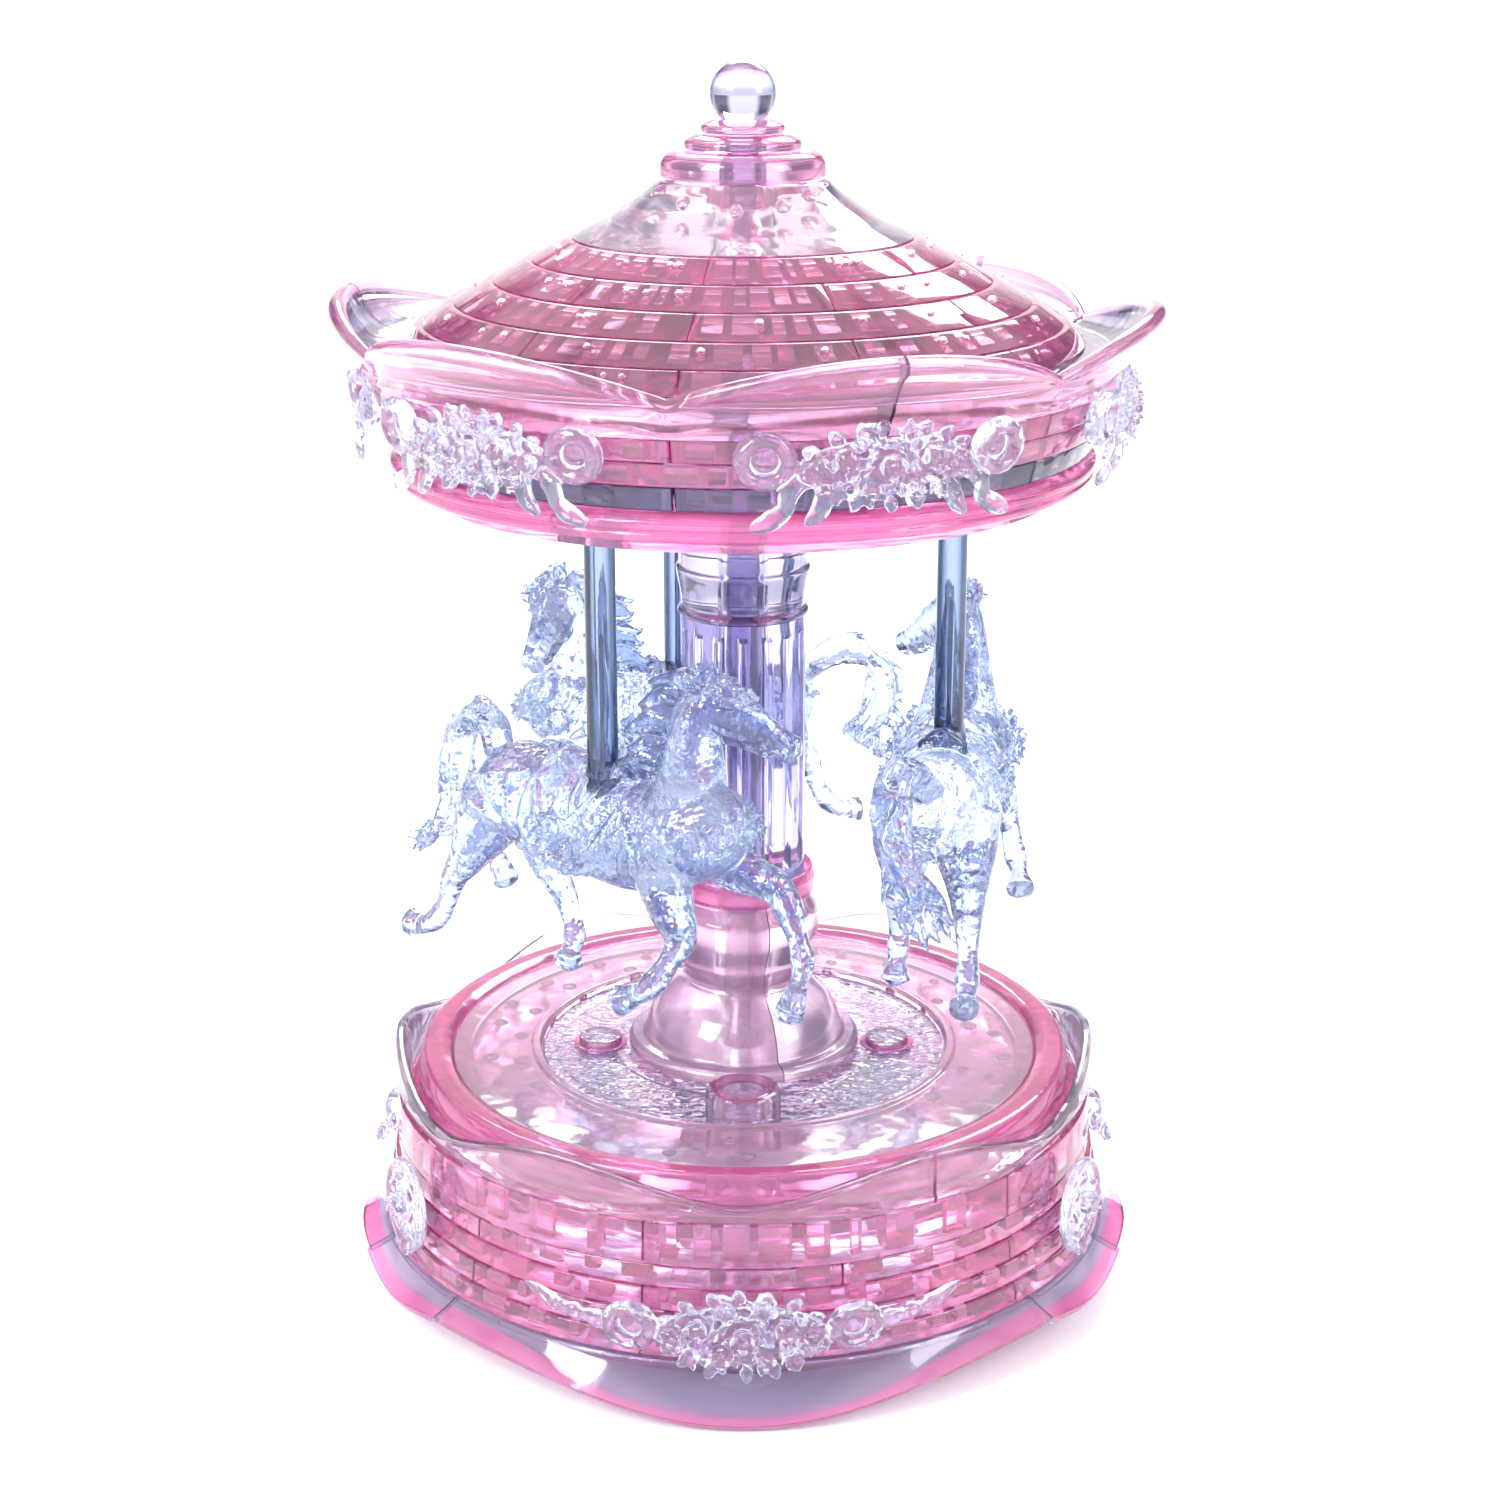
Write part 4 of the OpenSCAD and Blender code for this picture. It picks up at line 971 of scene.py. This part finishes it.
def add_harness(h, rng):
    """Breast band with flowers, saddle cloth with swags and a scalloped hem, saddle and straps."""
    for k in range(-4, 5):
        a = radians(k * 25)
        at = Vector((14.5 + 14.2 * cos(a), 10.0 * sin(a), 87.5 + 2 * cos(a)))
        rose(h, at, (cos(a), sin(a), 0.15), 2.3, rng)
    h.rod([(-10.6, 0, 86.3, 7.6), (-10, 0, 86.2, 8.6), (-1, 0, 84.9, 8.6), (8, 0, 84.9, 9.0),
           (8.8, 0, 85.2, 8)], 24)
    for side in (-1, 1):
        back = ((5, 2.5, 94, 0.7), (3, 7.6, 90, 0.9), (-2, 9.6, 84.5, 1.0), (-7, 7.8, 89.5, 0.9),
                (-10, 2.5, 94, 0.7))
        front = ((-1, 3.5, 93, 0.7), (1, 8.0, 89, 0.9), (5, 9.7, 83, 1.0), (8.6, 8.4, 88, 0.8),
                 (9.4, 5, 92, 0.7))
        hem = ((-10.4, 8.4, 86, 0.7), (-7, 9.2, 82.2, 0.9), (-2, 9.3, 80.4, 0.9), (4, 9.4, 80.6, 0.9),
               (9, 9, 83.4, 0.7))
        for swag in (back, front, hem):
            h.rod([(x, side * o, z, r) for x, o, z, r in swag], 8)
        for x, o, z, size in ((-2, 9.4, 86.6, 2.5), (-6.8, 8.7, 85.6, 1.9), (3.2, 9.3, 86.4, 2.1),
                              (7.2, 8.9, 85, 1.7), (0.6, 9.2, 82.6, 1.7), (-4.6, 9.0, 82.8, 1.6)):
            rose(h, Vector((x, -side * o, z)), (rng.uniform(-0.2, 0.2), -side, 0.15), size, rng)
        for k in range(9):
            x = mix(-10, 9, k / 8)
            h.blob(Vector((x, -side * 8.6, 79.6 + 0.35 * abs(x) * 0.6)), (1.25, 0.8, 1.3))
        for k in range(6):
            a = radians(-130 + k * 22)
            h.rod([(13.5 + 2 * cos(a), side * 7.4, 90.5 + 2 * sin(a), 0.5),
                   (13.5 + 5.5 * cos(a), side * 8.7, 89.5 + 5.5 * sin(a), 0.95),
                   (13.5 + 9 * cos(a), side * 7.8, 88.5 + 8.5 * sin(a), 0.4)], 8)
    h.rod([(-9.5, 0, 95.6, 1.6), (-6.5, 0, 94.6, 2.3), (-1, 0, 93.4, 2.6), (3, 0, 93.8, 2.2),
           (5.4, 0, 95.2, 1.5)], 12, 0.8)
    for s, reach in ((-8.6, 3.6), (5.0, 2.6)):
        h.rod([(s, -reach, 93.8, 0.9), (s - 0.2, 0, 95.9, 1.2), (s, reach, 93.8, 0.9)], 8)
    for side in (-1, 1):
        h.rod([(-11, side * 5.8, 92.4, 0.7), (-15, side * 6.6, 91.6, 0.7), (-20, side * 6.8, 90.4, 0.8),
               (-25, side * 4.6, 88, 0.6)], 8)
        for k in range(3):
            rose(h, Vector((-13.5 - 4 * k, -side * 6.9, 90.6 - 0.5 * k)), (0, -side, 0.5), 1.6, rng)


def add_tail(h, rng):
    """A plume that rises, falls and curls out at its end."""
    strands = 12
    for k in range(strands):
        a = 2 * pi * k / strands
        dx, dy = 1.9 * cos(a), 2.0 * sin(a)
        reach = rng.uniform(-1.2, 1.2)
        sway = [rng.uniform(-0.7, 0.7) for _ in range(6)]
        line = [(-23.5, dy * 0.4 - 1, 91.6 + dx * 0.4, 1.7), (-27.2, dy * 0.8 - 3, 95.0 + dx * 0.6, 1.5),
                (-31.5 + sway[0], dy - 4.2, 96.0 + dx, 1.25),
                (-35.6 + dx * 0.7, dy - 4.8 + sway[1], 93 + dx * 0.8, 1.2),
                (-37.4 + dx + sway[2], dy - 4.4, 87.6, 1.2), (-36.2 + dx, dy - 3.0 + sway[3], 82.6, 1.15),
                (-34.6 + dx + sway[4], dy * 1.2 - 1.2, 79, 1.1),
                (-36.6 + dx * 1.4, dy * 1.6 + 0.6, 75.6 + dx, 0.9),
                (-40.0 + reach, dy * 1.8 + 1.8, 74.6 + dx * 1.4, 0.25)]
        h.rod([(x + rng.uniform(-0.6, 0.6), o + rng.uniform(-0.5, 0.5), z + rng.uniform(-0.6, 0.6), r)
                for x, o, z, r in line], 8, 0.8)
    for k in range(5):
        z = mix(94, 82, k / 4)
        h.rod([(-37.4, -4.6, z, 1.0), (-39.6, -5.2, z - 1.6, 0.8), (-41.2, -5.4, z - 3.6, 0.2)], 6)


def horse_mesh():
    h = Horse()
    rng = Random(3)
    add_body(h)
    add_legs(h)
    add_mane(h, rng)
    add_bridle(h, rng)
    add_harness(h, rng)
    add_tail(h, rng)
    return fused(h, "horse", 0.38, smooth=2)


def make_horses():
    me = horse_mesh()
    for i, az in enumerate(HORSE_AZ):
        place(f"prancing_horse_{i + 1}", me, "carousel", "clear_crystal", [CLEAR], [f"horse_{i + 1}"],
              standing(az, POLE_RING))


# -------------------- CAD parts that keep their shape

CAD_FINISH = {
    "rubber_feet": RUBBER, "bottom_cover": PINK, "finial": BALL,
    "canopy_plate": PINK, "centre_rod": LILAC, "bedplate": NICKEL, "spring_barrel": NICKEL,
    "music_cylinder": NICKEL, "music_comb": STEEL, "screws": STEEL, "winding_arbor": STEEL,
    "winding_key": NICKEL, "governor_fan": STEEL, "brake_arm": STEEL, "mainspring": STEEL,
    "drive_spindle": STEEL,
}


def finish_cad():
    for node, material in CAD_FINISH.items():
        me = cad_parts[node].data
        me.materials.clear()
        me.materials.append(material)


# -------------------- studio

PLAIN_WHITE = (1.22, 1.22, 1.24)  # what the camera and matt surfaces see
BRIGHT_WALL = (1.4, 1.4, 1.4)
CEILING = (1.45, 1.45, 1.45)
SLATE, DUSK = (0.12, 0.15, 0.23), (0.34, 0.38, 0.5)
WHITE, BLACK = (1, 1, 1), (0, 0, 0)
FLOOR_REACH, FLOOR_Z = 8.0, -0.00005  # metres, a little below the feet
CAMERA_AT = (0.0011, -0.431, 0.2245)
CAMERA_TILT = 72.52  # degrees up from straight down
CAMERA_LENS = 65.4  # millimetres, on a sensor 36 wide


def add_card(name, at, size, power):
    """A soft box light at a place, turned to face the middle of the carousel."""
    light = bpy.data.lights.new(name, "AREA")
    light.shape = "RECTANGLE"
    light.size, light.size_y = size
    light.energy = power
    ob = bpy.data.objects.new(name, light)
    bpy.context.scene.collection.objects.link(ob)
    ob.location = at
    ob.rotation_euler = (Vector((0, 0, 0.1)) - Vector(at)).to_track_quat("-Z", "Y").to_euler()


def make_world(scene):
    """Even white for the camera and for matt surfaces. What glass bends and mirrors is a studio: a white
    back wall, a white ceiling with gaps, and slate flags at both sides and behind the camera."""
    world = bpy.data.worlds.new("studio")
    scene.world = world
    world.use_nodes = True
    nt = world.node_tree
    link = nt.links.new
    where = add_node(nt, "TexCoord")
    split = add_node(nt, "SeparateXYZ")
    link(where.outputs["Generated"], split.inputs[0])

    def ramp(axis, stops):
        """A colour for each value of an axis, where stops count 0 to 1 for -1 to 1."""
        scaled = add_node(nt, "MapRange", {FROM_LOW: -1})
        link(split.outputs[axis], scaled.inputs[0])
        node = add_node(nt, "ValToRGB")
        elements = node.color_ramp.elements
        elements[0].position, elements[0].color = stops[0][0], (*stops[0][1], 1)
        elements[1].position, elements[1].color = stops[-1][0], (*stops[-1][1], 1)
        for at, colour in stops[1:-1]:
            elements.new(at).color = (*colour, 1)
        link(scaled.outputs[0], node.inputs[0])
        return node.outputs[0]

    def mixed(amount, first, second):
        """Goes from first to second, each a colour or an output, by amount."""
        node = add_node(nt, "Mix", data_type="RGBA")
        link(amount, node.inputs[AMOUNT])
        for value, socket in ((first, node.inputs[FIRST]), (second, node.inputs[SECOND])):
            if isinstance(value, tuple):
                socket.default_value = (*value, 1)
            else:
                link(value, socket)
        return node.outputs[MIXED]

    side = ramp("X", [(0.0, WHITE), (0.1, BLACK), (0.16, WHITE), (0.3, WHITE), (0.36, BLACK), (0.62, BLACK),
                      (0.68, WHITE), (0.86, WHITE), (0.9, BLACK), (0.95, WHITE)])
    front = ramp("Y", [(0.0, WHITE), (0.3, WHITE), (0.42, BLACK), (1, BLACK)])
    height = ramp("Z", [(0.45, BLACK), (0.5, WHITE), (0.72, WHITE), (0.78, BLACK), (0.9, BLACK),
                        (0.92, WHITE), (0.95, BLACK)])
    walls = mixed(front, mixed(side, BRIGHT_WALL, SLATE), DUSK)
    room = mixed(height, CEILING, walls)
    seen = add_node(nt, "LightPath")
    plain_ray = add_node(nt, "Math", operation="ADD", use_clamp=True)
    link(seen.outputs["Is Camera Ray"], plain_ray.inputs[0])
    link(seen.outputs["Is Diffuse Ray"], plain_ray.inputs[1])
    link(mixed(plain_ray.outputs[0], room, PLAIN_WHITE), nt.nodes["Background"].inputs["Color"])


def make_studio():
    scene = bpy.context.scene
    scene.view_settings.view_transform = "Standard"
    scene.cycles.max_bounces = 40
    scene.cycles.transmission_bounces = 40
    scene.cycles.glossy_bounces = 12
    make_world(scene)

    floor = bpy.data.meshes.new("floor")
    sides = (-1, -1), (1, -1), (1, 1), (-1, 1)
    floor.from_pydata([(x * FLOOR_REACH, y * FLOOR_REACH, FLOOR_Z) for x, y in sides], [], [(0, 1, 2, 3)])
    ob = bpy.data.objects.new("floor", floor)
    scene.collection.objects.link(ob)
    floor.materials.append(new_material("pale_floor", Base_Color=(0.93, 0.93, 0.94, 1), Roughness=0.9)[0])

    add_card("key_left", (-0.55, -0.5, 0.6), (0.35, 0.5), 9)
    add_card("key_right", (0.6, -0.35, 0.45), (0.3, 0.5), 3.5)
    add_card("back_top", (0.1, 0.7, 0.7), (0.7, 0.35), 9)

    camera = bpy.data.cameras.new("camera")
    camera.sensor_width = 36
    camera.lens = CAMERA_LENS
    ob = bpy.data.objects.new("camera", camera)
    scene.collection.objects.link(ob)
    ob.location = CAMERA_AT
    ob.rotation_euler = (radians(CAMERA_TILT), 0, 0)
    scene.camera = ob


make_skirt()
make_drum()
make_crown()
make_deck()
make_button()
make_posts()
make_column()
make_canopy()
make_roof_top()
make_eave()
make_poles()
make_garlands()
make_horses()
finish_cad()
make_studio()
